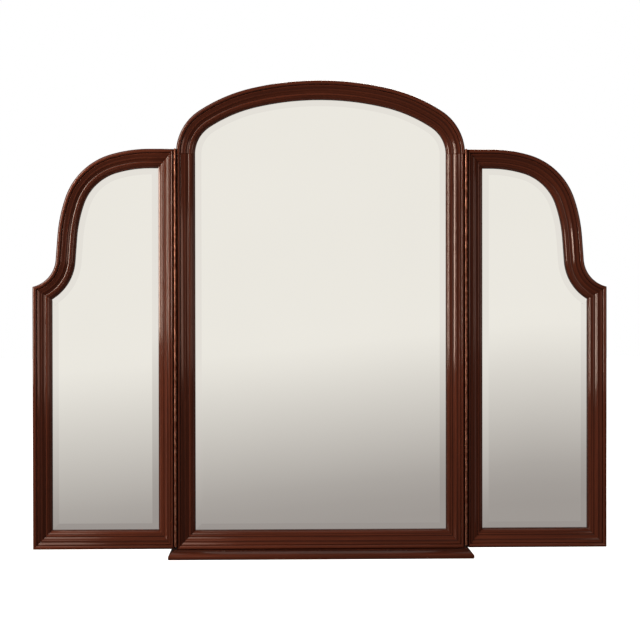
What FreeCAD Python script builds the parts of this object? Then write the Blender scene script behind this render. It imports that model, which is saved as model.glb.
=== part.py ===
import FreeCAD, Part
import math
import os

# A trifold dressing-table mirror: an arched centre panel fixed on a plinth, and two shouldered
# wings that fold forwards on continuous hinges. Millimetres, +Z up, front towards -Y, with the
# origin under the middle of the plinth. Pieces are drawn on the right-hand side and mirrored.
# In a frame's section, "across" runs outwards from the sight edge, and "height" forwards from
# the flat back of the frames.

# ---- Panels, seen from the front ----
CENTRE_SIGHT_HALF = 306.6      # middle of the centre glass to the sight edge of a stile
ARCH_TOP = 1162.0              # crown of the centre frame above the table
CROWN_RADIUS = 735.0           # outer radii of the three-centred arch
CROWN_ANGLE = 13.2             # from the vertical to where the haunch begins
HAUNCH_RADIUS = 398.0
HAUNCH_ANGLE = 33.3            # from the vertical to where the shoulder arc begins

WING_BOTTOM = 23.8             # the wings clear the table and the plinth
WING_ABOVE_SPRINGING = 11.3    # the wings' top over the springing of the arch
WING_OUTER = 698.5             # middle of the mirror to the outer side of a wing
WING_LEVEL_RUN = 19.9          # top rail's level stretch, from the hinge's sight line
FLANK_RUN = 57.2               # its straight stretch, between the curve and the hollow
BROW_TO_CURVE = 2.006          # outer radii of the brow, flank and hollow against the curve's,
FLANK_TO_CURVE = 2.266         # which is as large as the wing's width allows
HOLLOW_TO_CURVE = 0.435
BROW_ANGLE = 16.5              # where each stretch ends, from the vertical
CURVE_ANGLE = 71.0
FLANK_ANGLE = 85.7
HOLLOW_END_ANGLE = 12.7

# ---- Frame section, from the sight edge outwards ----
PROFILE_WIDTH = 45.0
HINGE_STILE_WIDTH = 39.6       # the wing's stile beside the hinge is narrower
FRAME_DEPTH = 32.0
LIP_FRONT_HEIGHT = 15.5
LIP_FLAT = (2.4, 0.4)          # flat border of the lip, across and up
OVOLO_END = 9.0                # from the sight edge to the ovolo's top
OVOLO_BULGE = 0.8              # a bulge is the rise of an arc over its chord
OVOLO_STEP = (0.6, 0.2)        # from the ovolo's top across and down to the astragal
ASTRAGAL_WIDTH = 5.4
ASTRAGAL_BULGE = 0.8
COVE_WIDTH = 7.3
COVE_BULGE = -0.5
COVE_HEIGHT = 20.6             # foot of the astragal and start of the cove
COVE_RISE = 4.6                # from there to where the roll begins
ROLL = (3.5, 0.7)              # low round outside the cove, across and up
ROLL_BULGE = 0.35
CREST_HEIGHT = 28.9            # ridge outside the second hollow
HOLLOW_BULGE = -0.3
QUIRK_HEIGHT = 27.5            # floor of the groove inside the bead
QUIRK_WALL = 1.9               # the ridge's fall into the groove, across
QUIRK_WIDTH = 0.5
BEAD_WIDTH = 9.9               # from the groove to the outer side
BEAD_FOOT_RISE = 0.8
BEAD_RISE_WIDTH = 4.2          # from the groove to the bead's crest
BEAD_RISE_BULGE = 1.3
BEAD_FALL_BULGE = 1.82
SIDE_HEIGHT = 26.0             # flat side of the moulding, up to the bead
BOARD_REBATE = 18.0            # across, for the backboard
GLASS_REBATE = 8.0             # across, for the mirror glass

# ---- Glass, packing and backboard ----
BOARD_THICKNESS = 5.0
PACKING_THICKNESS = 3.0
PACKING_WIDTH = 15.0
GLASS_THICKNESS = 5.0
BEVEL_VISIBLE = 16.0           # bevel seen inside the sight edge
BEVEL_DROP = 2.0               # the bevel's fall from the glass face to its edge
EDGE_CLEARANCE = 1.0           # glass and backboard in their rebates, on each side
FACE_CLEARANCE = 0.1           # between the bevel and the lip of the frame
FIT = 0.05                     # round screws, splines and the hinge pin

# ---- Continuous hinge ----
LEAF_THICKNESS = 1.27
LEAF_GAP = 1.46                # between the leaves when the wing lies flat
LEAF_WIDTH = 22.0              # from the hinge axis to the free edge of a leaf
KNUCKLE_LENGTH = 12.7
KNUCKLE_RADIUS = 2.6
KNUCKLE_END_GAP = 0.3
KNUCKLE_SIDE_GAP = 0.4         # between a knuckle and the notched edge of the other leaf
NECK_OVERLAP = 1.0             # a knuckle's neck runs this far into its leaf
PIN_RADIUS = 1.3
PIN_PROUD = 0.5                # the pin's ends past the knuckles
AXIS_PROUD = 0.75              # the hinge axis stands forward of the frames' front
HINGE_ABOVE_WING_BOTTOM = 6.5
NEST_WIDTH = 4.9               # step in the edges of the frames that clears the knuckles
NEST_HEIGHT = 21.0             # the step's floor above the back
LEAF_SCREW_EDGE = 5.0          # screw line above the free edge of a leaf
LEAF_SCREW_COUNT = 19
LEAF_SCREW_END = 24.0          # first and last screw from the hinge's ends

# ---- Plinth and back brackets ----
PLINTH_HEIGHT = 22.2
PLINTH_DEPTH = 140.0
PLINTH_REACH = 19.4            # nose of the moulding past the frame, at the front and ends
MOULDING_WIDTH = 24.0
MOULDING_RUN = 14.0            # the moulding's shoulder stands this far behind its nose
MOULDING_STEP = 2.0
MOULDING_FILLET = 1.2
MOULDING_BULGE = 1.0
NOSE_HEIGHT = 8.0
NOSE_EASE = 1.8
CORNER_REACH = 3.0             # the mitre's cutters reach this many moulding widths out
BRACKET_THICKNESS = 20.0
BRACKET_DEPTH = 78.0
BRACKET_HEIGHT = 240.0
BRACKET_TOE = 16.0             # upright end of the bracket's foot
BRACKET_NECK = 18.0            # depth of the bracket where its head begins
BRACKET_HEAD = 67.0            # from the neck to the top
BRACKET_HOLLOW = 21.5          # bulge of the long hollow, then of the head
BRACKET_HEAD_BULGE = -9.8
BRACKET_STILE_SETBACK = 3.6    # from the stile's outer side
BRACKET_SEAT = 10.0            # wood left under the heads of the bracket screws
BRACKET_SCREW_DROPS = (120.0, 34.0)    # below the bracket's top
FOOT_SCREW_SHARES = (0.35, 0.75)       # along the bracket's foot, from the frame
WELL_CLEARANCE = 0.2           # round the heads of the bracket screws
RAIL_SCREW_COUNT = 4
RAIL_SCREW_END = 30.7          # first and last rail screw from the corners of the glass
RAIL_SCREW_HEIGHT = 12.0       # their line above the back of the frame
FIXING_SPACING = 500.0         # holes that screw the plinth to a table
FIXING_HOLE_RADIUS = 2.75
FIXING_FROM_BACK = 20.0

# ---- Splines and screws ----
SPLINE_THICKNESS = 3.0
SPLINE_HEIGHT = 6.5            # underside of the splines above the back
SPLINE_HALF_WIDTH = 9.0
SPLINE_FROM = 0.46             # share of the mitre's length where the spline begins
SPLINE_TO = 0.78
BOARD_SCREW_PITCH = 150.0
BOARD_SCREW_ACROSS = 13.0
# head radius, shank radius, head depth and length
LEAF_SCREW = (2.9, 1.5, 1.4, 16.0)
BOARD_SCREW = (3.2, 1.6, 1.7, 14.0)
BRACKET_SCREW = (3.4, 1.9, 1.8, 25.0)
PLINTH_SCREW = (4.2, 2.2, 2.2, 42.8)
SLOT_WIDTH = 0.9
SLOT_DEPTH = 0.6


def turned(angle):
    """The direction that leans outwards from the vertical by an angle in degrees."""
    return math.sin(math.radians(angle)), math.cos(math.radians(angle))


def arch_arcs():
    """Centre, outer radius, start and end angle of each arc of the right half of the arch."""
    crown_centre = (0.0, ARCH_TOP - CROWN_RADIUS)
    crown_lean = turned(CROWN_ANGLE)
    haunch_centre = [c + (CROWN_RADIUS - HAUNCH_RADIUS) * part
                     for c, part in zip(crown_centre, crown_lean)]
    haunch_lean = turned(HAUNCH_ANGLE)
    end_radius = ((CENTRE_SIDE - haunch_centre[0] - HAUNCH_RADIUS * haunch_lean[0])
                  / (1.0 - haunch_lean[0]))
    end_centre = [c + (HAUNCH_RADIUS - end_radius) * part
                  for c, part in zip(haunch_centre, haunch_lean)]
    return [(crown_centre, CROWN_RADIUS, 0.0, CROWN_ANGLE),
            (haunch_centre, HAUNCH_RADIUS, CROWN_ANGLE, HAUNCH_ANGLE),
            (end_centre, end_radius, HAUNCH_ANGLE, 90.0)]


# ---- Derived places ----
CENTRE_SIDE = CENTRE_SIGHT_HALF + PROFILE_WIDTH
ARCH = arch_arcs()
SPRINGING = ARCH[-1][0][1]
WING_TOP = SPRINGING + WING_ABOVE_SPRINGING
FRAME_FRONT_Y = -PLINTH_DEPTH / 2 + PLINTH_REACH
BACK_Y = FRAME_FRONT_Y + FRAME_DEPTH
LEAF_OFFSET = LEAF_THICKNESS + LEAF_GAP / 2
AXIS_X = CENTRE_SIDE + LEAF_OFFSET
AXIS_HEIGHT = FRAME_DEPTH + AXIS_PROUD
WING_SIDE = AXIS_X + LEAF_OFFSET
WING_SIGHT_HINGE = WING_SIDE + HINGE_STILE_WIDTH
WING_SIGHT_OUTER = WING_OUTER - PROFILE_WIDTH
WING_SIGHT_BOTTOM = WING_BOTTOM + PROFILE_WIDTH
WING_SIGHT_TOP = WING_TOP - PROFILE_WIDTH
CENTRE_SIGHT_BOTTOM = PLINTH_HEIGHT + PROFILE_WIDTH
HINGE_BOTTOM = WING_BOTTOM + HINGE_ABOVE_WING_BOTTOM
HINGE_TOP = WING_TOP
GLASS_BACK = BOARD_THICKNESS + PACKING_THICKNESS
GLASS_FACE = GLASS_BACK + GLASS_THICKNESS
GLASS_EDGE = GLASS_REBATE - EDGE_CLEARANCE
BOARD_EDGE = BOARD_REBATE - EDGE_CLEARANCE
BEVEL_WIDTH = BEVEL_VISIBLE + GLASS_EDGE
LIP_BACK_HEIGHT = GLASS_FACE - BEVEL_DROP * BEVEL_VISIBLE / BEVEL_WIDTH + FACE_CLEARANCE
FAR = 400.0                    # longer than any cut needs
OVERRUN = 40.0                 # a joint's cutter past both ends of the joint
OVERCUT = 1.0                  # a cutter past each face that it cuts
UP, DOWN, LEFT, RIGHT = (0, 1), (0, -1), (-1, 0), (1, 0)


# ---- Drawing helpers ----
def at(x, z, height=0.0):
    """A point of the front view, at a height above the back of the frames."""
    return FreeCAD.Vector(x, BACK_Y - height, z)


def line(start, end):
    return Part.LineSegment(start, end).toShape()


def arc(start, middle, end):
    return Part.Arc(start, middle, end).toShape()


def bulged(start, end, bulge):
    """The middle of the arc that rises by a bulge to the left of the way from start to end."""
    run = [e - s for s, e in zip(start, end)]
    length = math.hypot(*run)
    return ((start[0] + end[0]) / 2 - bulge * run[1] / length,
            (start[1] + end[1]) / 2 + bulge * run[0] / length)


def block(low, high):
    """A box between two opposite corners."""
    size = [b - a for a, b in zip(low, high)]
    return Part.makeBox(*size, FreeCAD.Vector(*low))


def mirrored(shape):
    return shape.mirror(FreeCAD.Vector(0, 0, 0), FreeCAD.Vector(1, 0, 0))


def fused(pieces):
    return pieces[0].multiFuse(pieces[1:]).removeSplitter()


def plate(edges, low, high):
    """The front-view outline as a plate between two heights above the back."""
    face = Part.Face(Part.Wire(edges))
    face.translate(FreeCAD.Vector(0, -low, 0))
    return face.extrude(FreeCAD.Vector(0, low - high, 0))


# ---- Frame mouldings ----
def section(origin, outward, width=PROFILE_WIDTH):
    """The moulding's section, standing on a point of the sight line and facing outwards."""
    scale = width / PROFILE_WIDTH

    def fixed(across, height):
        return at(origin[0] + outward[0] * across, origin[1] + outward[1] * across, height)

    def shaped(across, height):
        return fixed(across * scale, height)

    sight = (0.0, LIP_FRONT_HEIGHT)
    lip = (LIP_FLAT[0], LIP_FRONT_HEIGHT + LIP_FLAT[1])
    ovolo_top = (OVOLO_END, COVE_HEIGHT + OVOLO_STEP[1])
    astragal_foot = (OVOLO_END + OVOLO_STEP[0], COVE_HEIGHT)
    cove_start = (astragal_foot[0] + ASTRAGAL_WIDTH, COVE_HEIGHT)
    cove_end = (cove_start[0] + COVE_WIDTH, COVE_HEIGHT + COVE_RISE)
    roll_end = (cove_end[0] + ROLL[0], cove_end[1] + ROLL[1])
    quirk_out = (PROFILE_WIDTH - BEAD_WIDTH, QUIRK_HEIGHT)
    quirk_in = (quirk_out[0] - QUIRK_WIDTH, QUIRK_HEIGHT)
    crest = (quirk_in[0] - QUIRK_WALL, CREST_HEIGHT)
    bead_foot = (quirk_out[0], QUIRK_HEIGHT + BEAD_FOOT_RISE)
    bead_crest = (quirk_out[0] + BEAD_RISE_WIDTH, FRAME_DEPTH)
    side_top = (PROFILE_WIDTH, SIDE_HEIGHT)
    front = [(sight, lip, 0), (lip, ovolo_top, OVOLO_BULGE), (ovolo_top, astragal_foot, 0),
             (astragal_foot, cove_start, ASTRAGAL_BULGE), (cove_start, cove_end, COVE_BULGE),
             (cove_end, roll_end, ROLL_BULGE), (roll_end, crest, HOLLOW_BULGE),
             (crest, quirk_in, 0), (quirk_in, quirk_out, 0), (quirk_out, bead_foot, 0),
             (bead_foot, bead_crest, BEAD_RISE_BULGE), (bead_crest, side_top, BEAD_FALL_BULGE)]
    back = [shaped(*side_top), fixed(width, 0.0), fixed(BOARD_REBATE, 0.0),
            fixed(BOARD_REBATE, BOARD_THICKNESS), fixed(GLASS_REBATE, BOARD_THICKNESS),
            fixed(GLASS_REBATE, LIP_BACK_HEIGHT), fixed(0.0, LIP_BACK_HEIGHT), shaped(*sight)]
    edges = [line(a, b) for a, b in zip(back, back[1:])]
    for start, end, bulge in front:
        if bulge:
            middle = bulged(start, end, bulge)
            edges.append(arc(shaped(*start), shaped(*middle), shaped(*end)))
        else:
            edges.append(line(shaped(*start), shaped(*end)))
    return Part.Face(Part.Wire(Part.__sortEdges__(edges)))


def straight(start, end, outward, width=PROFILE_WIDTH):
    """A straight length of moulding along the sight line."""
    run = FreeCAD.Vector(end[0] - start[0], 0, end[1] - start[1])
    return section(start, outward, width).extrude(run)


def bent(centre, sight_radius, start_angle, end_angle, hollow=False):
    """A curved length of moulding about a centre, between two angles from the vertical.

    A hollow length bends the other way: its sight line lies below the centre, and its
    moulding faces the centre.
    """
    lean = turned(start_angle)
    side = -1.0 if hollow else 1.0
    origin = [c + side * sight_radius * part for c, part in zip(centre, lean)]
    turn_axis = FreeCAD.Vector(0, 1, 0)
    face = section(origin, lean)
    return face.revolve(at(*centre), turn_axis, end_angle - start_angle)


def beyond(inner, outer, toward, middle=None):
    """All that lies past a joint: the cut from the sight corner to the outer corner.

    The cut is straight, or an arc through a middle point, and runs on straight past both ends.
    """
    along_in = [i - (middle or outer)[k] for k, i in enumerate(inner)]
    along_out = [o - (middle or inner)[k] for k, o in enumerate(outer)]
    reach_in = OVERRUN / math.hypot(*along_in)
    reach_out = OVERRUN / math.hypot(*along_out)
    near = at(inner[0] + along_in[0] * reach_in, inner[1] + along_in[1] * reach_in)
    past = at(outer[0] + along_out[0] * reach_out, outer[1] + along_out[1] * reach_out)
    away = FreeCAD.Vector(toward[0] * FAR, 0, toward[1] * FAR)
    joint = arc(at(*inner), at(*middle), at(*outer)) if middle else line(at(*inner), at(*outer))
    edges = [line(near, at(*inner)), joint, line(at(*outer), past), line(past, past + away),
             line(past + away, near + away), line(near + away, near)]
    return plate(edges, -OVERCUT, FRAME_DEPTH + OVERCUT)


def spline(inner, outer, ease=0.0):
    """The loose tongue across a joint, or its slot when eased."""
    length = math.hypot(outer[0] - inner[0], outer[1] - inner[1])
    angle = math.degrees(math.atan2(outer[1] - inner[1], outer[0] - inner[0]))
    low = (length * SPLINE_FROM - ease, SPLINE_HEIGHT - ease, -SPLINE_HALF_WIDTH - ease)
    high = (length * SPLINE_TO + ease, SPLINE_HEIGHT + SPLINE_THICKNESS + ease,
            SPLINE_HALF_WIDTH + ease)
    tongue = block(low, high).mirror(FreeCAD.Vector(0, 0, 0), FreeCAD.Vector(0, 1, 0))
    tongue.rotate(FreeCAD.Vector(0, 0, 0), FreeCAD.Vector(0, 1, 0), -angle)
    tongue.translate(at(*inner))
    return tongue


def screw(size, ease=0.0):
    """A slotted countersunk screw that points down -Z from its face, or its hole when eased."""
    head, shank, head_depth, length = size
    cone = Part.makeCone(shank + ease, head + ease, head_depth,
                         FreeCAD.Vector(0, 0, -head_depth))
    stem = Part.makeCylinder(shank + ease, length - head_depth + ease,
                             FreeCAD.Vector(0, 0, -length - ease))
    body = fused([cone, stem])
    if ease:
        return body
    slot = block((-head, -SLOT_WIDTH / 2, -SLOT_DEPTH), (head, SLOT_WIDTH / 2, OVERCUT))
    return body.cut(slot)


def placed(shape, face_centre, pointing):
    """A screw or hole drawn down -Z, moved to a face and turned to point along a direction."""
    turn = FreeCAD.Rotation(FreeCAD.Vector(0, 0, -1), FreeCAD.Vector(*pointing))
    copy = shape.copy()
    copy.Placement = FreeCAD.Placement(FreeCAD.Vector(*face_centre), turn)
    return copy


def screw_set(size, places, pointing):
    """The screws of one row and the holes that take them."""
    body = screw(size)
    hole = screw(size, FIT)
    screws = [placed(body, place, pointing) for place in places]
    holes = [placed(hole, place, pointing) for place in places]
    return screws, holes


# ---- Outlines of the two kinds of panel ----
def wing_curve():
    """The wing's top rail: its arcs, its straight run, and the centre and radius of the hollow."""
    begin = WING_SIGHT_HINGE + WING_LEVEL_RUN
    lean = turned(FLANK_ANGLE)
    width = WING_OUTER - begin - FLANK_RUN * lean[1]
    bends = [(BROW_TO_CURVE, 0.0, BROW_ANGLE), (1.0, BROW_ANGLE, CURVE_ANGLE),
             (FLANK_TO_CURVE, CURVE_ANGLE, FLANK_ANGLE),
             (HOLLOW_TO_CURVE, HOLLOW_END_ANGLE, FLANK_ANGLE)]
    curve_radius = width / sum(ratio * (turned(end)[0] - turned(start)[0])
                               for ratio, start, end in bends)
    hollow_radius = HOLLOW_TO_CURVE * curve_radius
    point = [begin, WING_TOP]
    arcs = []
    for ratio, start, end in bends[:-1]:
        radius = ratio * curve_radius
        centre = [p - radius * part for p, part in zip(point, turned(start))]
        arcs.append((centre, radius, start, end))
        point = [c + radius * part for c, part in zip(centre, turned(end))]
    foot = [point[0] + FLANK_RUN * lean[1], point[1] - FLANK_RUN * lean[0]]
    hollow_centre = [f + hollow_radius * part for f, part in zip(foot, lean)]
    return begin, arcs, (point, foot), hollow_centre, hollow_radius


CURVE_BEGIN, WING_ARCS, (RUN_TOP, RUN_FOOT), HOLLOW_CENTRE, HOLLOW_RADIUS = wing_curve()
HOLLOW_SIGHT = HOLLOW_RADIUS + PROFILE_WIDTH


def on_arc(centre, radius, angle):
    return at(centre[0] + radius * turned(angle)[0], centre[1] + radius * turned(angle)[1])


def arc_edge(centre, radius, start, end):
    return arc(on_arc(centre, radius, start), on_arc(centre, radius, (start + end) / 2),
               on_arc(centre, radius, end))


def centre_outline(grow):
    """The centre's sight line, moved outwards: the edges beside each frame member."""
    x, low = CENTRE_SIGHT_HALF + grow, CENTRE_SIGHT_BOTTOM - grow
    right = [arc_edge(centre, radius - PROFILE_WIDTH + grow, start, end)
             for centre, radius, start, end in ARCH]
    left = [mirrored(edge) for edge in reversed(right)]
    return {"bottom_rail": [line(at(-x, low), at(x, low))],
            "right_stile": [line(at(x, low), at(x, SPRINGING))],
            "arch": right[::-1] + left[::-1],
            "left_stile": [line(at(-x, SPRINGING), at(-x, low))]}


def shoulder_point(grow):
    """Where the hollow meets the outer stile, at a distance outwards from the sight line."""
    x = WING_SIGHT_OUTER + grow
    drop = math.sqrt((HOLLOW_SIGHT - grow) ** 2 - (HOLLOW_CENTRE[0] - x) ** 2)
    return x, HOLLOW_CENTRE[1] - drop


def wing_outline(grow):
    """The right wing's sight line, moved outwards: the edges beside each frame member."""
    hinge_x, outer_x = WING_SIGHT_HINGE - grow, WING_SIGHT_OUTER + grow
    low, high = WING_SIGHT_BOTTOM - grow, WING_SIGHT_TOP + grow
    inset = PROFILE_WIDTH - grow
    corner = shoulder_point(grow)
    hollow_radius = HOLLOW_SIGHT - grow
    corner_angle = math.degrees(math.asin((HOLLOW_CENTRE[0] - outer_x) / hollow_radius))
    hollow = arc(at(*corner),
                 on_arc(HOLLOW_CENTRE, -hollow_radius, (corner_angle + FLANK_ANGLE) / 2),
                 on_arc(HOLLOW_CENTRE, -hollow_radius, FLANK_ANGLE))
    lean = turned(FLANK_ANGLE)
    run = [at(point[0] - inset * lean[0], point[1] - inset * lean[1])
           for point in (RUN_FOOT, RUN_TOP)]
    curves = [arc_edge(centre, radius - inset, end, start)
              for centre, radius, start, end in reversed(WING_ARCS)]
    return {"bottom_rail": [line(at(hinge_x, low), at(outer_x, low))],
            "outer_stile": [line(at(outer_x, low), at(*corner))],
            "top_rail": [hollow, line(*run)] + curves
                        + [line(at(CURVE_BEGIN, high), at(hinge_x, high))],
            "hinge_stile": [line(at(hinge_x, high), at(hinge_x, low))]}


def joined_edges(outline):
    return [edge for edges in outline.values() for edge in edges]


# ---- What fills a panel: glass, packing, backboard and its screws ----
def bevelled_glass(outline):
    edge_height = GLASS_FACE - BEVEL_DROP
    base = plate(joined_edges(outline(GLASS_EDGE)), GLASS_BACK, edge_height)
    low = Part.Wire(joined_edges(outline(GLASS_EDGE)))
    high = Part.Wire(joined_edges(outline(-BEVEL_VISIBLE)))
    low.translate(FreeCAD.Vector(0, -edge_height, 0))
    high.translate(FreeCAD.Vector(0, -GLASS_FACE, 0))
    return fused([base, Part.makeLoft([low, high], True, True)])


def packing(outline):
    outer = plate(joined_edges(outline(GLASS_EDGE)), BOARD_THICKNESS, GLASS_BACK)
    inner = plate(joined_edges(outline(GLASS_EDGE - PACKING_WIDTH)),
                  BOARD_THICKNESS - OVERCUT, GLASS_BACK + OVERCUT)
    return outer.cut(inner)


def board_screw_places(outline):
    """Screw places along each member, at even shares of its length and clear of the joints."""
    places = []
    for edges in outline(BOARD_SCREW_ACROSS).values():
        wire = Part.Wire(edges)
        count = max(2, round(wire.Length / BOARD_SCREW_PITCH))
        places += wire.discretize(Number=2 * count + 1)[1::2]
    return places


def panel_filling(outline):
    """Glass, packing, backboard and screws of one panel, and the holes in its frame."""
    screws, holes = screw_set(BOARD_SCREW, board_screw_places(outline), (0, -1, 0))
    board = plate(joined_edges(outline(BOARD_EDGE)), 0.0, BOARD_THICKNESS).cut(holes)
    filling = {"mirror_glass": bevelled_glass(outline),
               "felt_packing": packing(outline),
               "backboard": board,
               "backboard_screws": Part.makeCompound(screws)}
    return filling, holes


# ---- Hinge on the right-hand side ----
def hinge_leaf(side, first_knuckle):
    """One leaf: its plate, every other knuckle and the necks that join them.

    side is -1 for the leaf on the centre stile and +1 for the leaf on the wing.
    """
    faces = sorted((AXIS_X + side * LEAF_GAP / 2, AXIS_X + side * LEAF_OFFSET))
    axis_y = BACK_Y - AXIS_HEIGHT
    free_edge = axis_y + LEAF_WIDTH
    notched_edge = axis_y + KNUCKLE_RADIUS + KNUCKLE_SIDE_GAP
    pieces = [block((faces[0], notched_edge, HINGE_BOTTOM), (faces[1], free_edge, HINGE_TOP))]
    count = math.ceil((HINGE_TOP - HINGE_BOTTOM) / KNUCKLE_LENGTH)
    for index in range(first_knuckle, count, 2):
        top = HINGE_TOP - index * KNUCKLE_LENGTH - KNUCKLE_END_GAP / 2
        bottom = max(top - KNUCKLE_LENGTH + KNUCKLE_END_GAP, HINGE_BOTTOM)
        pieces.append(Part.makeCylinder(KNUCKLE_RADIUS, top - bottom,
                                        FreeCAD.Vector(AXIS_X, axis_y, bottom)))
        pieces.append(block((faces[0], axis_y, bottom),
                            (faces[1], notched_edge + NECK_OVERLAP, top)))
    bore = Part.makeCylinder(PIN_RADIUS + FIT, HINGE_TOP - HINGE_BOTTOM + 2 * OVERCUT,
                             FreeCAD.Vector(AXIS_X, axis_y, HINGE_BOTTOM - OVERCUT))
    return fused(pieces).cut(bore)


def hinge_pin():
    return Part.makeCylinder(PIN_RADIUS, HINGE_TOP - HINGE_BOTTOM + 2 * PIN_PROUD,
                             FreeCAD.Vector(AXIS_X, BACK_Y - AXIS_HEIGHT,
                                            HINGE_BOTTOM - PIN_PROUD))


def leaf_screws(side):
    """Screws and holes through one leaf, pointing into the stile behind it."""
    face_x = AXIS_X + side * LEAF_GAP / 2
    y = BACK_Y - AXIS_HEIGHT + LEAF_WIDTH - LEAF_SCREW_EDGE
    pitch = (HINGE_TOP - HINGE_BOTTOM - 2 * LEAF_SCREW_END) / (LEAF_SCREW_COUNT - 1)
    places = [(face_x, y, HINGE_BOTTOM + LEAF_SCREW_END + index * pitch)
              for index in range(LEAF_SCREW_COUNT)]
    return screw_set(LEAF_SCREW, places, (side, 0, 0))


def knuckle_nest(side_face, toward_wood):
    """The step cut along a stile's front edge, where the knuckles lie."""
    low_x, high_x = sorted((side_face - toward_wood, side_face + toward_wood * NEST_WIDTH))
    return block((low_x, BACK_Y - FRAME_DEPTH - OVERCUT, -FAR),
                 (high_x, BACK_Y - NEST_HEIGHT, WING_TOP + FAR))


# ---- Centre frame ----
def centre_frame(board_holes, fixed_leaf_holes, foot_holes, bracket_holes):
    corner_in = (CENTRE_SIGHT_HALF, CENTRE_SIGHT_BOTTOM)
    corner_out = (CENTRE_SIDE, PLINTH_HEIGHT)
    spring_in = (CENTRE_SIGHT_HALF, SPRINGING)
    spring_out = (CENTRE_SIDE, SPRINGING)
    tongues = [spline(corner_in, corner_out), spline(spring_in, spring_out)]
    slots = [spline(corner_in, corner_out, FIT), spline(spring_in, spring_out, FIT)]
    holes = board_holes + slots + [mirrored(slot) for slot in slots]

    stile = straight((CENTRE_SIGHT_HALF, PLINTH_HEIGHT), spring_in, RIGHT)
    stile = stile.cut(beyond(corner_in, corner_out, DOWN))
    stile = stile.cut(knuckle_nest(CENTRE_SIDE, -1))
    right_stile = stile.cut(holes + fixed_leaf_holes + bracket_holes)

    rail = straight((-CENTRE_SIDE, CENTRE_SIGHT_BOTTOM), (CENTRE_SIDE, CENTRE_SIGHT_BOTTOM),
                    DOWN)
    past_mitre = beyond(corner_in, corner_out, RIGHT)
    rail = rail.cut([past_mitre, mirrored(past_mitre)] + holes + foot_holes)

    half = [bent(centre, radius - PROFILE_WIDTH, start, end)
            for centre, radius, start, end in ARCH]
    leaf_holes = fixed_leaf_holes + [mirrored(hole) for hole in fixed_leaf_holes]
    arch = fused(half + [mirrored(piece) for piece in half]).cut(holes + leaf_holes)

    splines = tongues + [mirrored(tongue) for tongue in tongues]
    return {"center_left_stile": mirrored(right_stile),
            "center_right_stile": right_stile,
            "center_bottom_rail": rail,
            "center_arch": arch,
            "center_corner_splines": Part.makeCompound(splines)}


# ---- Right wing's frame ----
def wing_frame(board_holes, moving_leaf_holes):
    hinge_low = ((WING_SIGHT_HINGE, WING_SIGHT_BOTTOM), (WING_SIDE, WING_BOTTOM))
    hinge_high = ((WING_SIGHT_HINGE, WING_SIGHT_TOP), (WING_SIDE, WING_TOP))
    outer_low = ((WING_SIGHT_OUTER, WING_SIGHT_BOTTOM), (WING_OUTER, WING_BOTTOM))
    shoulder = (shoulder_point(0.0), shoulder_point(PROFILE_WIDTH))
    shoulder_middle = shoulder_point(PROFILE_WIDTH / 2)
    corners = (hinge_low, hinge_high, outer_low, shoulder)
    nest = knuckle_nest(WING_SIDE, 1)
    holes = board_holes + [spline(*corner, FIT) for corner in corners] + [nest]

    hinge_stile = straight((WING_SIGHT_HINGE, WING_BOTTOM), (WING_SIGHT_HINGE, WING_TOP),
                           LEFT, HINGE_STILE_WIDTH)
    hinge_stile = hinge_stile.cut([beyond(*hinge_low, DOWN), beyond(*hinge_high, UP)]
                                  + holes + moving_leaf_holes)

    outer_stile = straight((WING_SIGHT_OUTER, WING_BOTTOM),
                           (WING_SIGHT_OUTER, shoulder[1][1] + PROFILE_WIDTH), RIGHT)
    outer_stile = outer_stile.cut([beyond(*outer_low, DOWN),
                                   beyond(*shoulder, UP, shoulder_middle)] + holes)

    bottom_rail = straight((WING_SIDE, WING_SIGHT_BOTTOM), (WING_OUTER, WING_SIGHT_BOTTOM),
                           DOWN)
    bottom_rail = bottom_rail.cut([beyond(*hinge_low, LEFT), beyond(*outer_low, RIGHT)] + holes)

    lean = turned(FLANK_ANGLE)
    run = [(point[0] - PROFILE_WIDTH * lean[0], point[1] - PROFILE_WIDTH * lean[1])
           for point in (RUN_TOP, RUN_FOOT)]
    lengths = [straight((WING_SIDE, WING_SIGHT_TOP), (CURVE_BEGIN, WING_SIGHT_TOP), UP)]
    lengths += [bent(centre, radius - PROFILE_WIDTH, start, end)
                for centre, radius, start, end in WING_ARCS]
    lengths.append(straight(*run, lean))
    lengths.append(bent(HOLLOW_CENTRE, HOLLOW_SIGHT, FLANK_ANGLE, 0.0, hollow=True))
    top_rail = fused(lengths).cut([beyond(*hinge_high, LEFT),
                                   beyond(*shoulder, DOWN, shoulder_middle)] + holes)

    tongues = [spline(*corner) for corner in corners]
    return {"hinge_stile": hinge_stile, "outer_stile": outer_stile,
            "bottom_rail": bottom_rail, "top_rail": top_rail,
            "corner_splines": Part.makeCompound(tongues)}


# ---- Plinth ----
MOULDING_LINE = PLINTH_REACH - MOULDING_WIDTH    # glue line past the frame
BOARD_HALF = CENTRE_SIDE + MOULDING_LINE
BOARD_FRONT_Y = FRAME_FRONT_Y - MOULDING_LINE
PLINTH_BACK_Y = PLINTH_DEPTH / 2


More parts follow.
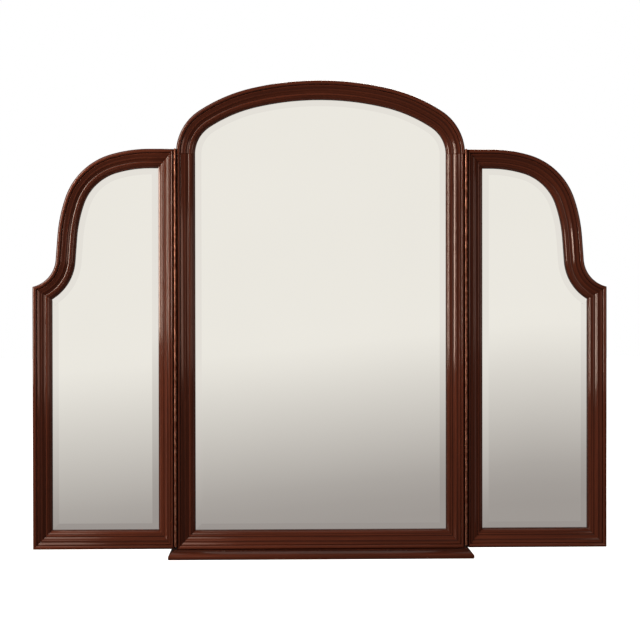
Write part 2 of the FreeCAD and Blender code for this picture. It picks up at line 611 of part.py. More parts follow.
def moulding_face(place):
    """The plinth moulding's section; place turns a distance from the glue line into a point."""
    shoulder = MOULDING_WIDTH - MOULDING_RUN
    step_floor = PLINTH_HEIGHT - MOULDING_STEP
    curve_start = (shoulder + MOULDING_FILLET, step_floor)
    curve_end = (MOULDING_WIDTH, NOSE_HEIGHT)
    curve_middle = bulged(curve_start, curve_end, MOULDING_BULGE)
    corners = [curve_end, (MOULDING_WIDTH, NOSE_EASE), (MOULDING_WIDTH - NOSE_EASE, 0.0),
               (0.0, 0.0), (0.0, PLINTH_HEIGHT), (shoulder, PLINTH_HEIGHT),
               (shoulder, step_floor), curve_start]
    edges = [line(place(*a), place(*b)) for a, b in zip(corners, corners[1:])]
    edges.append(arc(place(*curve_start), place(*curve_middle), place(*curve_end)))
    return Part.Face(Part.Wire(edges))


def plinth(holes):
    low_y = BOARD_FRONT_Y - MOULDING_WIDTH
    reach = BOARD_HALF + MOULDING_WIDTH

    def mitre_side(corner):
        """Everything on one side of the mitre plane at the right-hand front corner."""
        points = [FreeCAD.Vector(BOARD_HALF - MOULDING_WIDTH, BOARD_FRONT_Y + MOULDING_WIDTH, 0),
                  FreeCAD.Vector(reach + MOULDING_WIDTH, low_y - MOULDING_WIDTH, 0),
                  FreeCAD.Vector(*corner, 0)]
        face = Part.Face(Part.makePolygon(points + points[:1]))
        face.translate(FreeCAD.Vector(0, 0, -OVERCUT))
        return face.extrude(FreeCAD.Vector(0, 0, PLINTH_HEIGHT + 2 * OVERCUT))

    behind_mitre = mitre_side((reach + CORNER_REACH * MOULDING_WIDTH,
                               BOARD_FRONT_Y + MOULDING_WIDTH))
    before_mitre = mitre_side((BOARD_HALF - MOULDING_WIDTH, low_y - MOULDING_WIDTH))

    front = moulding_face(lambda out, z: FreeCAD.Vector(-reach, BOARD_FRONT_Y - out, z))
    front = front.extrude(FreeCAD.Vector(2 * reach, 0, 0))
    front = front.cut([behind_mitre, mirrored(behind_mitre)])
    end = moulding_face(lambda out, z: FreeCAD.Vector(BOARD_HALF + out, low_y, z))
    end = end.extrude(FreeCAD.Vector(0, PLINTH_BACK_Y - low_y, 0)).cut(before_mitre)

    board = block((-BOARD_HALF, BOARD_FRONT_Y, 0), (BOARD_HALF, PLINTH_BACK_Y, PLINTH_HEIGHT))
    fixing_y = PLINTH_BACK_Y - FIXING_FROM_BACK
    fixings = [Part.makeCylinder(FIXING_HOLE_RADIUS, PLINTH_HEIGHT + 2 * OVERCUT,
                                 FreeCAD.Vector(side * FIXING_SPACING / 2, fixing_y, -OVERCUT))
               for side in (-1, 1)]
    return {"plinth_board": board.cut(holes + fixings), "plinth_front_moulding": front,
            "plinth_right_moulding": end, "plinth_left_moulding": mirrored(end)}


def plinth_screws():
    """Screws up through the plinth into the bottom rail and the feet of the brackets."""
    first = CENTRE_SIGHT_HALF - RAIL_SCREW_END
    pitch = 2 * first / (RAIL_SCREW_COUNT - 1)
    places = [(index * pitch - first, BACK_Y - RAIL_SCREW_HEIGHT, 0.0)
              for index in range(RAIL_SCREW_COUNT)]
    for side in (-1, 1):
        for share in FOOT_SCREW_SHARES:
            places.append((side * BRACKET_X, BACK_Y + share * BRACKET_DEPTH, 0.0))
    return screw_set(PLINTH_SCREW, places, (0, 0, 1))


# ---- Back brackets ----
BRACKET_X = CENTRE_SIDE - BRACKET_STILE_SETBACK - BRACKET_THICKNESS / 2


def bracket_screws():
    """The screws through the bracket into the stile, right-hand side."""
    places = [(BRACKET_X, BACK_Y + BRACKET_SEAT, PLINTH_HEIGHT + BRACKET_HEIGHT - drop)
              for drop in BRACKET_SCREW_DROPS]
    return screw_set(BRACKET_SCREW, places, (0, -1, 0)), places


def bracket(holes, screw_places):
    """The shaped bracket that braces the right stile against the plinth."""
    x = BRACKET_X - BRACKET_THICKNESS / 2

    def place(back, up):
        return FreeCAD.Vector(x, BACK_Y + back, PLINTH_HEIGHT + up)

    toe = (BRACKET_DEPTH, BRACKET_TOE)
    neck = (BRACKET_NECK, BRACKET_HEIGHT - BRACKET_HEAD)
    top = (0.0, BRACKET_HEIGHT)
    hollow = bulged(toe, neck, BRACKET_HOLLOW)
    head = bulged(neck, top, BRACKET_HEAD_BULGE)
    edges = [line(place(0, 0), place(BRACKET_DEPTH, 0)),
             line(place(BRACKET_DEPTH, 0), place(*toe)),
             arc(place(*toe), place(*hollow), place(*neck)),
             arc(place(*neck), place(*head), place(*top)),
             line(place(*top), place(0, 0))]
    body = Part.Face(Part.Wire(edges)).extrude(FreeCAD.Vector(BRACKET_THICKNESS, 0, 0))
    head_room = BRACKET_SCREW[0] + WELL_CLEARANCE
    wells = [Part.makeCylinder(head_room, BRACKET_DEPTH, FreeCAD.Vector(*spot),
                               FreeCAD.Vector(0, 1, 0)) for spot in screw_places]
    return body.cut(wells + holes)


# ---- Assembly ----
def build():
    nodes = {}
    centre_filling, centre_board_holes = panel_filling(centre_outline)
    wing_filling, wing_board_holes = panel_filling(wing_outline)
    fixed_screws, fixed_holes = leaf_screws(-1)
    moving_screws, moving_holes = leaf_screws(1)
    foot_screws, foot_holes = plinth_screws()
    (neck_screws, neck_holes), neck_places = bracket_screws()

    nodes.update(centre_frame(centre_board_holes, fixed_holes, foot_holes, neck_holes))
    for name, shape in centre_filling.items():
        nodes["center_" + name] = shape

    wing = wing_frame(wing_board_holes, moving_holes)
    wing.update(wing_filling)
    for name, shape in wing.items():
        nodes["right_wing_" + name] = shape
        nodes["left_wing_" + name] = mirrored(shape)

    hinge = {"fixed_leaf": hinge_leaf(-1, 0).cut(fixed_holes),
             "moving_leaf": hinge_leaf(1, 1).cut(moving_holes),
             "pin": hinge_pin(),
             "fixed_screws": Part.makeCompound(fixed_screws),
             "moving_screws": Part.makeCompound(moving_screws)}
    for name, shape in hinge.items():
        nodes["right_hinge_" + name] = shape
        nodes["left_hinge_" + name] = mirrored(shape)

    nodes.update(plinth(foot_holes))
    nodes["plinth_screws"] = Part.makeCompound(foot_screws)
    right_bracket = bracket(neck_holes + foot_holes, neck_places)
    nodes["right_back_bracket"] = right_bracket
    nodes["left_back_bracket"] = mirrored(right_bracket)
    nodes["bracket_screws"] = Part.makeCompound(
        neck_screws + [mirrored(piece) for piece in neck_screws])
    return nodes


def main():
    os.makedirs("parts", exist_ok=True)
    for name, shape in build().items():
        if not shape.isValid():
            print("not valid:", name)
        shape.exportStep(os.path.join("parts", name + ".step"))
        print(name, len(shape.Solids), "solids", round(shape.Volume), "mm3")


main()
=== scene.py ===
"""Looks of a trifold dressing-table mirror: an arched centre panel on a moulded plinth, and two
shouldered wings that fold forwards on continuous brass hinges.

Metres, +Z up, front towards -Y. Right-hand pieces are modelled and mirrored. In a frame's
moulding, "across" runs outwards from the sight edge, the inner edge of the wood beside the
glass, and "height" runs forwards from the flat back of the frames.
"""

import functools
import math

import bpy
from mathutils import Matrix, Vector


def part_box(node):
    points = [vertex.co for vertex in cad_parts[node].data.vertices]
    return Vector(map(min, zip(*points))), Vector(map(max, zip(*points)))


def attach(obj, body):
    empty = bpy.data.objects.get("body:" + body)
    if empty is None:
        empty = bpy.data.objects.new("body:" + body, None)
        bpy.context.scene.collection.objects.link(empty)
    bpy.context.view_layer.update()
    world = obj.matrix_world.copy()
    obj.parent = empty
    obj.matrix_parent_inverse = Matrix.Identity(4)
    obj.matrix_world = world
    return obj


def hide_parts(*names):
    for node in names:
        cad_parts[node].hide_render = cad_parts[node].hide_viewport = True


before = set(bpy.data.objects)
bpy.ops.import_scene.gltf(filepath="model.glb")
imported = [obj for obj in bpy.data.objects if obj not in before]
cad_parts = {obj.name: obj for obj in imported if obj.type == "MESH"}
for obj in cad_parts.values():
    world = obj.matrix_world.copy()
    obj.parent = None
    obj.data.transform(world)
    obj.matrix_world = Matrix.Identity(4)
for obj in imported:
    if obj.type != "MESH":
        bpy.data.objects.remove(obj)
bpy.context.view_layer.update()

bl_info = {
    "name": "Trifold Dressing Mirror",
    "version": (1, 0, 0),
    "blender": (4, 5, 0),
    "location": "3D View > Sidebar > Mirror",
    "description": "Models and finishes a mahogany trifold dressing-table mirror",
    "category": "Object",
}

MM = 0.001
UP, DOWN, LEFT, RIGHT = (0.0, 1.0), (0.0, -1.0), (-1.0, 0.0), (1.0, 0.0)

# ---- Places taken from the construction ----
STILE_LOW, STILE_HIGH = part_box("center_right_stile")
HINGE_STILE_LOW, HINGE_STILE_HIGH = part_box("right_wing_hinge_stile")
OUTER_STILE_LOW, OUTER_STILE_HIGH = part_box("right_wing_outer_stile")
ARCH_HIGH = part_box("center_arch")[1]
GLASS_LOW, GLASS_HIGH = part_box("center_mirror_glass")
PLINTH_LOW, PLINTH_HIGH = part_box("plinth_front_moulding")
BOARD_LOW, BOARD_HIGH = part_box("plinth_board")

BACK_Y = STILE_HIGH.y
FRAME_DEPTH = STILE_HIGH.y - STILE_LOW.y
CENTRE_SIGHT = STILE_LOW.x
CENTRE_SIDE = STILE_HIGH.x
PROFILE_WIDTH = CENTRE_SIDE - CENTRE_SIGHT
CENTRE_BOTTOM = STILE_LOW.z
SPRINGING = STILE_HIGH.z
WING_SIDE = HINGE_STILE_LOW.x
WING_SIGHT_HINGE = HINGE_STILE_HIGH.x
WING_SIGHT_OUTER = OUTER_STILE_LOW.x
WING_OUTER = OUTER_STILE_HIGH.x
WING_BOTTOM = OUTER_STILE_LOW.z
WING_TOP = HINGE_STILE_HIGH.z
GLASS_BACK = BACK_Y - GLASS_HIGH.y
GLASS_FACE = BACK_Y - GLASS_LOW.y
GLASS_REACH = GLASS_HIGH.x - CENTRE_SIGHT


# ---- Sizes and colours that a user would change ----
def length(label, millimetres, text):
    return bpy.props.FloatProperty(name=label, description=text, default=millimetres * MM,
                                   precision=5, unit="LENGTH")


def angle(label, degrees, text):
    return bpy.props.FloatProperty(name=label, description=text, default=math.radians(degrees),
                                   subtype="ANGLE")


def number(label, value, text):
    return bpy.props.FloatProperty(name=label, description=text, default=value)


def colour(label, red, green, blue, text):
    return bpy.props.FloatVectorProperty(name=label, description=text, subtype="COLOR",
                                         size=3, min=0.0, max=1.0, default=(red, green, blue))


class MouldingSizes(bpy.types.PropertyGroup):
    """The frame moulding, from the sight edge outwards."""

    lip_back: length("Lip back", 11.71, "Height of the lip's underside over the back")
    lip_front: length("Lip front", 15.5, "Height of the lip's edge over the back")
    lip_flat: length("Lip flat", 2.4, "Flat border of the lip beside the glass")
    lip_rise: length("Lip rise", 0.4, "Rise of that border")
    ovolo_width: length("Ovolo width", 9.0, "From the sight edge to the ovolo's top")
    ovolo_bulge: length("Ovolo bulge", 0.8, "Rise of its arc over the chord")
    step_width: length("Step width", 0.6, "Small step from the ovolo to the astragal")
    step_fall: length("Step fall", 0.2, "Fall of the small step")
    cove_height: length("Cove height", 20.6, "Foot of the astragal and start of the cove")
    astragal_width: length("Astragal width", 5.4, "Small round beside the ovolo")
    astragal_bulge: length("Astragal bulge", 0.8, "Rise of its arc")
    cove_width: length("Cove width", 7.3, "Hollow outside the astragal")
    cove_bulge: length("Cove bulge", -0.5, "Sink of its arc")
    cove_rise: length("Cove rise", 4.6, "Rise from the cove's start to its end")
    roll_width: length("Roll width", 3.5, "Low round outside the cove")
    roll_rise: length("Roll rise", 0.7, "Rise from its start to its end")
    roll_bulge: length("Roll bulge", 0.35, "Rise of its arc")
    crest_height: length("Crest height", 28.9, "Ridge outside the second hollow")
    hollow_bulge: length("Hollow bulge", -0.3, "Sink of the second hollow's arc")
    quirk_height: length("Quirk height", 27.5, "Floor of the groove inside the bead")
    quirk_wall: length("Quirk wall", 1.9, "Fall of the ridge into the groove, across")
    quirk_width: length("Quirk width", 0.5, "Floor of the groove")
    bead_width: length("Bead width", 9.9, "From the groove to the outer side")
    bead_foot: length("Bead foot", 0.8, "Upright foot of the bead")
    bead_rise: length("Bead rise", 4.2, "From the groove to the bead's crest, across")
    bead_rise_bulge: length("Bead rise bulge", 1.3, "Rise of the bead's inner arc")
    bead_fall_bulge: length("Bead fall bulge", 1.82, "Rise of the bead's outer arc")
    side_height: length("Side height", 26.0, "Flat outer side up to the bead")
    board_rebate: length("Board rebate", 18.0, "Rebate for the backboard, across")
    board_thickness: length("Board thickness", 5.0, "Depth of that rebate")
    glass_rebate: length("Glass rebate", 8.0, "Rebate for the glass, across")
    arris: length("Arris", 0.3, "Softening of the sharp edges and joints")
    nest_width: length("Nest width", 4.9, "Step along the hinge edges that clears the knuckles")
    nest_height: length("Nest height", 21.0, "Floor of that step over the back")


class PanelSizes(bpy.types.PropertyGroup):
    """The arch of the centre and the shouldered curve of the wings."""

    crown_radius: length("Crown radius", 735.0, "Outer radius of the arch's crown")
    crown_angle: angle("Crown angle", 13.2, "Where the crown ends, from the vertical")
    haunch_radius: length("Haunch radius", 398.0, "Outer radius beside the crown")
    haunch_angle: angle("Haunch angle", 33.3, "Where the haunch ends, from the vertical")
    level_run: length("Level run", 19.9, "Wing's level top before its curve begins")
    flank_run: length("Flank run", 57.2, "Straight stretch between the curve and the hollow")
    brow_to_curve: number("Brow", 2.006, "Brow radius against the curve's")
    flank_to_curve: number("Flank", 2.266, "Flank radius against the curve's")
    hollow_to_curve: number("Hollow", 0.435, "Hollow radius against the curve's")
    brow_angle: angle("Brow angle", 16.5, "Where the brow ends, from the vertical")
    curve_angle: angle("Curve angle", 71.0, "Where the main curve ends")
    flank_angle: angle("Flank angle", 85.7, "Where the flank ends")
    hollow_angle: angle("Hollow angle", 12.7, "Where the hollow meets the outer side")
    bevel_width: length("Bevel width", 23.0, "Ground border of the glass, rebated part included")
    bevel_drop: length("Bevel drop", 2.0, "Fall of the bevel to the glass edge")
    facet: angle("Facet", 1.5, "Turn of each facet in a curve")


class PlinthSizes(bpy.types.PropertyGroup):
    """The moulding round the plinth."""

    run: length("Run", 14.0, "From the moulding's shoulder to its nose")
    step: length("Step", 2.0, "Fall at the shoulder")
    fillet: length("Fillet", 1.2, "Level stretch before the curve")
    bulge: length("Bulge", 1.0, "Rise of the curve over its chord")
    nose: length("Nose", 8.0, "Height of the upright nose")
    ease: length("Ease", 1.8, "Chamfer under the nose")
    arris: length("Arris", 0.4, "Softening of the sharp edges")


class FinishColours(bpy.types.PropertyGroup):
    """Colours and gloss of the finishes."""

    mahogany_deep: colour("Mahogany, deep", 0.055, 0.0150, 0.0082, "Dark ribbons of the wood")
    mahogany_warm: colour("Mahogany, warm", 0.118, 0.0310, 0.0160, "Light ribbons of the wood")
    mahogany_pore: colour("Mahogany pores", 0.02, 0.006, 0.004, "Open pores under the polish")
    # Old polish colour, also used as painted shade in the hollows and along the glass edge
    old_polish: colour("Old polish", 0.012, 0.004, 0.003, "Polish and dust in the hollows")
    board_deep: colour("Backboard, deep", 0.10, 0.055, 0.03, "Dark grain of the backboards")
    board_warm: colour("Backboard, warm", 0.24, 0.145, 0.08, "Light grain of the backboards")
    silver: colour("Silvering", 0.95, 0.96, 0.945, "Reflection of the flat glass")
    bevel: colour("Bevel", 0.889, 0.892, 0.882, "Reflection of the bevels")
    brass: colour("Brass", 0.60, 0.305, 0.21, "Clean brass of the hinges")
    tarnish: colour("Tarnish", 0.26, 0.105, 0.068, "Brass under old lacquer")
    steel: colour("Steel", 0.42, 0.40, 0.38, "Screws and hinge pins")
    felt: colour("Felt", 0.03, 0.035, 0.03, "Packing behind the glass")
    polish: number("Polish", 0.13, "Roughness of the polished wood")


class StageSizes(bpy.types.PropertyGroup):
    """The camera, the lights and the surroundings."""

    camera_place: bpy.props.FloatVectorProperty(
        name="Camera place", description="Where the camera stands", size=3, unit="LENGTH",
        default=(-0.1033, -3.7195, 0.6046))
    camera_yaw: angle("Camera yaw", 1.5705, "Turn of the camera to the right")
    camera_pitch: angle("Camera pitch", -0.3913, "Lift of the camera")
    camera_roll: angle("Camera roll", -0.063, "Lean of the camera")
    lens: number("Lens", 85.0, "Focal length in millimetres on a 36 mm wide sensor")
    bright: colour("Bright surroundings", 0.88, 0.845, 0.79, "Wall seen in the upper glass")
    dim: colour("Dim surroundings", 0.365, 0.333, 0.315, "Floor seen at the foot of the glass")
    floor_lean: number("Floor lean", 0.104, "Tilt of the wall's foot, down to the left")
    aside: number("Aside", 0.75, "Brightness beside the wall, against the wall's")
    gloom: number("Gloom", 0.03, "Brightness of the room that the polished wood reflects")
    ambient: number("Ambient", 0.42, "Strength of the light from all around")
    from_below: number("From below", 0.4, "Share of it that comes from below")
    left_light: number("Left light", 57.0, "Power of the tall light at the left, in watts")
    upper_light: number("Upper light", 12.0, "Power of the light above the left, in watts")
    right_light: number("Right light", 14.0, "Power of the fill light at the right, in watts")
    back_light: number("Back light", 70.0, "Power of the light behind, in watts")


def sizes(name):
    return getattr(bpy.context.scene, "mirror_" + name)


# ---- Drawing helpers ----
def at(x, z, height=0.0):
    """A point of the front view, at a height above the back of the frames."""
    return Vector((x, BACK_Y - height, z))


def turned(lean):
    """The direction that leans outwards from the vertical by an angle."""
    return math.sin(lean), math.cos(lean)


def along(start, direction, distance):
    return start[0] + direction[0] * distance, start[1] + direction[1] * distance


def between(start, end, share):
    return tuple(a + (b - a) * share for a, b in zip(start, end))


def arc_points(start, end, bulge, steps):
    """Points after the start of the arc that rises by a bulge to the left of start to end."""
    chord = math.dist(start, end)
    half_turn = 2.0 * math.atan(2.0 * bulge / chord)
    radius = chord / 2.0 / math.sin(half_turn)
    middle = between(start, end, 0.5)
    left = (-(end[1] - start[1]) / chord, (end[0] - start[0]) / chord)
    centre = along(middle, left, bulge - radius)
    first = math.atan2(start[1] - centre[1], start[0] - centre[0])
    reach = abs(radius)
    return [(centre[0] + reach * math.cos(first - 2.0 * half_turn * step / steps),
             centre[1] + reach * math.sin(first - 2.0 * half_turn * step / steps))
            for step in range(1, steps + 1)]


def facets(turn):
    return max(2, math.ceil(abs(turn) / sizes("panels").facet))


def extrude(x, y, z):
    bpy.ops.mesh.extrude_region_move(TRANSFORM_OT_translate={"value": (x, y, z)})


# ---- The two kinds of stretch in a moulding ----
class Run:
    """A straight stretch: its start on the sight line, its outward side and its way."""

    def __init__(self, start, end, outward):
        self.start, self.end, self.outward = start, end, outward
        self.extent = math.dist(start, end)
        self.way = ((end[0] - start[0]) / self.extent, (end[1] - start[1]) / self.extent)

    def first(self, across):
        return along(self.start, self.outward, across)

    def extend(self):
        extrude(self.way[0] * self.extent, 0.0, self.way[1] * self.extent)

    def measure(self, x, z):
        """Distance along the stretch and across the moulding, and how far past its ends."""
        reach = (x - self.start[0], z - self.start[1])
        distance = reach[0] * self.way[0] + reach[1] * self.way[1]
        across = reach[0] * self.outward[0] + reach[1] * self.outward[1]
        return distance, across, max(0.0, -distance, distance - self.extent)


class Bend:
    """A curved stretch about a centre, between two angles from the vertical.

    A hollow one bends the other way: its moulding lies below the centre and faces it.
    """

    def __init__(self, centre, sight_radius, begin, end, hollow=False):
        self.centre, self.radius, self.begin, self.finish = centre, sight_radius, begin, end
        self.side = -1.0 if hollow else 1.0
        self.extent = sight_radius * abs(end - begin)

    def first(self, across):
        radius = self.side * self.radius + across
        return along(self.centre, turned(self.begin), radius)

    def extend(self):
        turn = self.finish - self.begin
        bpy.ops.mesh.spin(steps=facets(turn), angle=-turn, axis=(0.0, 1.0, 0.0),
                          center=(self.centre[0], 0.0, self.centre[1]))

    def measure(self, x, z):
        reach = ((x - self.centre[0]) * self.side, (z - self.centre[1]) * self.side)
        lean = math.atan2(reach[0], reach[1])
        share = (lean - self.begin) / (self.finish - self.begin)
        distance = share * self.extent
        across = (math.hypot(*reach) - self.radius) * self.side
        outside = max(0.0, -across, across - PROFILE_WIDTH)
        return distance, across, max(0.0, -distance, distance - self.extent) + outside


# ---- Outlines ----
def arch_bends():
    """The arch from its right springing over the crown to the left one."""
    panel = sizes("panels")
    crown = (0.0, ARCH_HIGH.z - panel.crown_radius)
    haunch = along(crown, turned(panel.crown_angle), panel.crown_radius - panel.haunch_radius)
    lean = turned(panel.haunch_angle)
    end_radius = ((CENTRE_SIDE - haunch[0] - panel.haunch_radius * lean[0]) / (1.0 - lean[0]))
    end = along(haunch, lean, panel.haunch_radius - end_radius)
    right = [(end, end_radius, math.pi / 2, panel.haunch_angle),
             (haunch, panel.haunch_radius, panel.haunch_angle, panel.crown_angle)]
    left = [((-centre[0], centre[1]), radius, -last, -first)
            for centre, radius, first, last in reversed(right)]
    over = [(crown, panel.crown_radius, panel.crown_angle, -panel.crown_angle)]
    return [Bend(centre, radius - PROFILE_WIDTH, first, last)
            for centre, radius, first, last in right + over + left]


def wing_stretches():
    """The right wing's top rail, from the hinge side to the shoulder."""
    panel = sizes("panels")
    begin = WING_SIGHT_HINGE + panel.level_run
    lean = turned(panel.flank_angle)
    width = WING_OUTER - begin - panel.flank_run * lean[1]
    bends = [(panel.brow_to_curve, 0.0, panel.brow_angle),
             (1.0, panel.brow_angle, panel.curve_angle),
             (panel.flank_to_curve, panel.curve_angle, panel.flank_angle),
             (panel.hollow_to_curve, panel.hollow_angle, panel.flank_angle)]
    curve_radius = width / sum(share * (math.sin(last) - math.sin(first))
                               for share, first, last in bends)
    sight_top = WING_TOP - PROFILE_WIDTH
    stretches = [Run((WING_SIGHT_HINGE, sight_top), (begin, sight_top), UP)]
    point = (begin, WING_TOP)
    for share, first, last in bends[:-1]:
        radius = share * curve_radius
        centre = along(point, turned(first), -radius)
        stretches.append(Bend(centre, radius - PROFILE_WIDTH, first, last))
        point = along(centre, turned(last), radius)
    foot = along(point, (lean[1], -lean[0]), panel.flank_run)
    stretches.append(Run(along(point, lean, -PROFILE_WIDTH),
                         along(foot, lean, -PROFILE_WIDTH), lean))
    hollow_radius = panel.hollow_to_curve * curve_radius
    hollow = along(foot, lean, hollow_radius)
    return stretches, hollow, hollow_radius + PROFILE_WIDTH


def shoulder_point(hollow, hollow_sight, across):
    """Where the hollow meets the outer stile, at a distance outwards from the sight line."""
    x = WING_SIGHT_OUTER + across
    drop = math.sqrt((hollow_sight - across) ** 2 - (hollow[0] - x) ** 2)
    return x, hollow[1] - drop


def bend_points(bend, grow):
    steps = facets(bend.finish - bend.begin)
    radius = bend.side * bend.radius + grow
    return [along(bend.centre, turned(bend.begin + (bend.finish - bend.begin) * step / steps),
                  radius) for step in range(steps + 1)]


def without_doubles(points):
    return [point for point, before in zip(points, points[-1:] + points)
            if math.dist(point, before) > MM]


def centre_outline(grow):
    """The centre's sight line moved outwards, as points round the panel."""
    x, low = CENTRE_SIGHT + grow, CENTRE_BOTTOM + PROFILE_WIDTH - grow
    points = [(-x, low), (x, low)]
    for bend in arch_bends():
        points += bend_points(bend, grow)
    return without_doubles(points)


def wing_outline(grow):
    """The right wing's sight line moved outwards, as points round the panel."""
    stretches, hollow, hollow_sight = wing_stretches()
    corner = shoulder_point(hollow, hollow_sight, grow)
    low = WING_BOTTOM + PROFILE_WIDTH - grow
    hinge = WING_SIGHT_HINGE - grow
    points = [(hinge, low), (WING_SIGHT_OUTER + grow, low)]
    end_lean = math.asin((hollow[0] - corner[0]) / (hollow_sight - grow))
    last = Bend(hollow, hollow_sight, end_lean, sizes("panels").flank_angle, hollow=True)
    points += bend_points(last, grow)
    for stretch in reversed(stretches):
        if isinstance(stretch, Bend):
            points += bend_points(stretch, grow)[::-1]
    return without_doubles(points + [(hinge, WING_TOP - PROFILE_WIDTH + grow)])


# ---- Modelling helpers ----
DOUBLES = 1e-6                   # points closer than this are merged
SHARP = math.radians(38.0)       # edges sharper than this are eased
SMOOTH = math.radians(32.0)      # edges blunter than this are shaded smooth


def pick(piece):
    bpy.ops.object.select_all(action="DESELECT")
    piece.select_set(True)
    bpy.context.view_layer.objects.active = piece


def edit_all(piece):
    """Opens a piece in edit mode, with all of it selected."""
    pick(piece)
    bpy.ops.object.mode_set(mode="EDIT")
    bpy.ops.mesh.select_mode(type="VERT")
    bpy.ops.mesh.select_all(action="SELECT")


def start_piece(name, corners, fill="NOTHING"):
    """A ring primitive, its corners put at their places, left selected in edit mode."""
    bpy.ops.object.select_all(action="DESELECT")
    bpy.ops.mesh.primitive_circle_add(vertices=len(corners), fill_type=fill,
                                      location=(0.0, 0.0, 0.0))
    piece = bpy.context.object
    piece.name = piece.data.name = name
    for vertex, corner in zip(piece.data.vertices, corners):
        vertex.co = corner
    edit_all(piece)
    return piece


def face_outwards(piece):
    """Turns the faces of a closed piece outwards."""
    edit_all(piece)
    bpy.ops.mesh.normals_make_consistent(inside=False)
    bpy.ops.object.mode_set(mode="OBJECT")


def close_piece(piece):
    """Merges the doubles, caps the open ends and turns the faces outwards."""
    edit_all(piece)
    bpy.ops.mesh.remove_doubles(threshold=DOUBLES)
    bpy.ops.mesh.fill_holes(sides=0)
    bpy.ops.object.mode_set(mode="OBJECT")
    face_outwards(piece)


def soften(piece, arris):
    """Eases the sharp edges and smooths the rest."""
    pick(piece)
    easing = piece.modifiers.new("eased_edges", "BEVEL")
    easing.width = arris
    easing.segments = 2
    easing.limit_method = "ANGLE"
    easing.angle_limit = SHARP
    bpy.ops.object.modifier_apply(modifier=easing.name)
    bpy.ops.object.shade_smooth_by_angle(angle=SMOOTH)


def cut_nest(piece, side, foot, top):
    """Cuts the step along a hinge edge, from a foot to a top, that clears the knuckles."""
    size = sizes("moulding")
    low = at(side - size.nest_width, foot, 2 * FRAME_DEPTH)
    high = at(side + size.nest_width, top, size.nest_height)
    bpy.ops.object.select_all(action="DESELECT")
    bpy.ops.mesh.primitive_cube_add(size=1.0, location=between(low, high, 0.5),
                                    scale=[b - a for a, b in zip(low, high)])
    cutter = bpy.context.object
    pick(piece)
    cut = piece.modifiers.new("cut", "BOOLEAN")
    cut.operation = "DIFFERENCE"
    cut.solver = "EXACT"
    cut.object = cutter
    bpy.ops.object.modifier_apply(modifier=cut.name)
    bpy.data.objects.remove(cutter)


def mirrored(piece, name):
    """The left-hand copy of a right-hand piece, with its own mesh."""
    copy = piece.copy()
    copy.data = piece.data.copy()
    copy.name = copy.data.name = name
    bpy.context.collection.objects.link(copy)
    pick(copy)
    copy.scale.x = -1.0
    bpy.ops.object.transform_apply(location=False, rotation=False, scale=True)
    face_outwards(copy)
    return copy


def finish_piece(piece, node, body, slot, *materials):
    """Gives a piece its materials and ties it to the construction."""
    piece.data.materials.clear()
    for material in materials:
        piece.data.materials.append(material)
    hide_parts(node)
    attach(piece, body)


def dress(node, material):
    """Gives a node of the construction its material."""
    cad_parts[node].material_slots[0].material = material


# ---- Frame members ----
def moulding_section(width):
    """The closed section of the moulding: points across and high, the front before the back."""
    size = sizes("moulding")
    scale = width / PROFILE_WIDTH
    astragal = size.ovolo_width + size.step_width
    cove = astragal + size.astragal_width
    roll = (cove + size.cove_width, size.cove_height + size.cove_rise)
    bead = PROFILE_WIDTH - size.bead_width
    quirk = bead - size.quirk_width
    # Where each stretch of the front ends, with its bulge and facets if it is round
    stretches = (
        (size.lip_flat, size.lip_front + size.lip_rise),
        (size.ovolo_width, size.cove_height + size.step_fall, size.ovolo_bulge, 8),
        (astragal, size.cove_height),
        (cove, size.cove_height, size.astragal_bulge, 8),
        (*roll, size.cove_bulge, 7),
        (roll[0] + size.roll_width, roll[1] + size.roll_rise, size.roll_bulge, 5),
        (quirk - size.quirk_wall, size.crest_height, size.hollow_bulge, 6),
        (quirk, size.quirk_height),
        (bead, size.quirk_height),
        (bead, size.quirk_height + size.bead_foot),
        (bead + size.bead_rise, FRAME_DEPTH, size.bead_rise_bulge, 6),
        (PROFILE_WIDTH, size.side_height, size.bead_fall_bulge, 8))
    front = [(0.0, size.lip_front)]
    for across, height, *round_part in stretches:
        end = (across, height)
        front += arc_points(front[-1], end, *round_part) if round_part else [end]
    front = [(across * scale, height) for across, height in front]
    back = [(width, 0.0), (size.board_rebate, 0.0), (size.board_rebate, size.board_thickness),
            (size.glass_rebate, size.board_thickness), (size.glass_rebate, size.lip_back),
            (0.0, size.lip_back)]
    return front + back


def member(name, width, stretches, start_joint=None, end_joint=None, nest=None):
    """A length of moulding swept along its stretches, its ends shaped to their joints.

    A joint is a mitre's sight corner and outer corner, or else a function that gives its place
    for a distance across. What runs past the last joint is drawn back to it.
    """
    def at_joint(joint, across):
        return joint(across) if callable(joint) else between(*joint, across / width)

    section = moulding_section(width)
    ring = [at(*stretches[0].first(across), height) for across, height in section]
    piece = start_piece(name, ring)
    for stretch in stretches:
        stretch.extend()
    bpy.ops.object.mode_set(mode="OBJECT")
    vertices = piece.data.vertices
    if end_joint:
        last = stretches[-1]
        for vertex in vertices:
            distance, across, _ = last.measure(vertex.co.x, vertex.co.z)
            end = at_joint(end_joint, across)
            if vertex.select or distance > last.measure(*end)[0]:
                vertex.co.x, vertex.co.z = end
    if start_joint:
        for vertex, (across, _) in zip(vertices, section):
            vertex.co.x, vertex.co.z = at_joint(start_joint, across)
    close_piece(piece)
    if nest:
        cut_nest(piece, *nest)
    soften(piece, sizes("moulding").arris)
    return piece


# ---- Wood in a mesh ----
# What the material reads from it: the way of the grain, the old polish and painted shade in the
# hollows, and the wear
WOOD_DATA = {"grain": "FLOAT_VECTOR", "grime": "FLOAT", "rub": "FLOAT"}
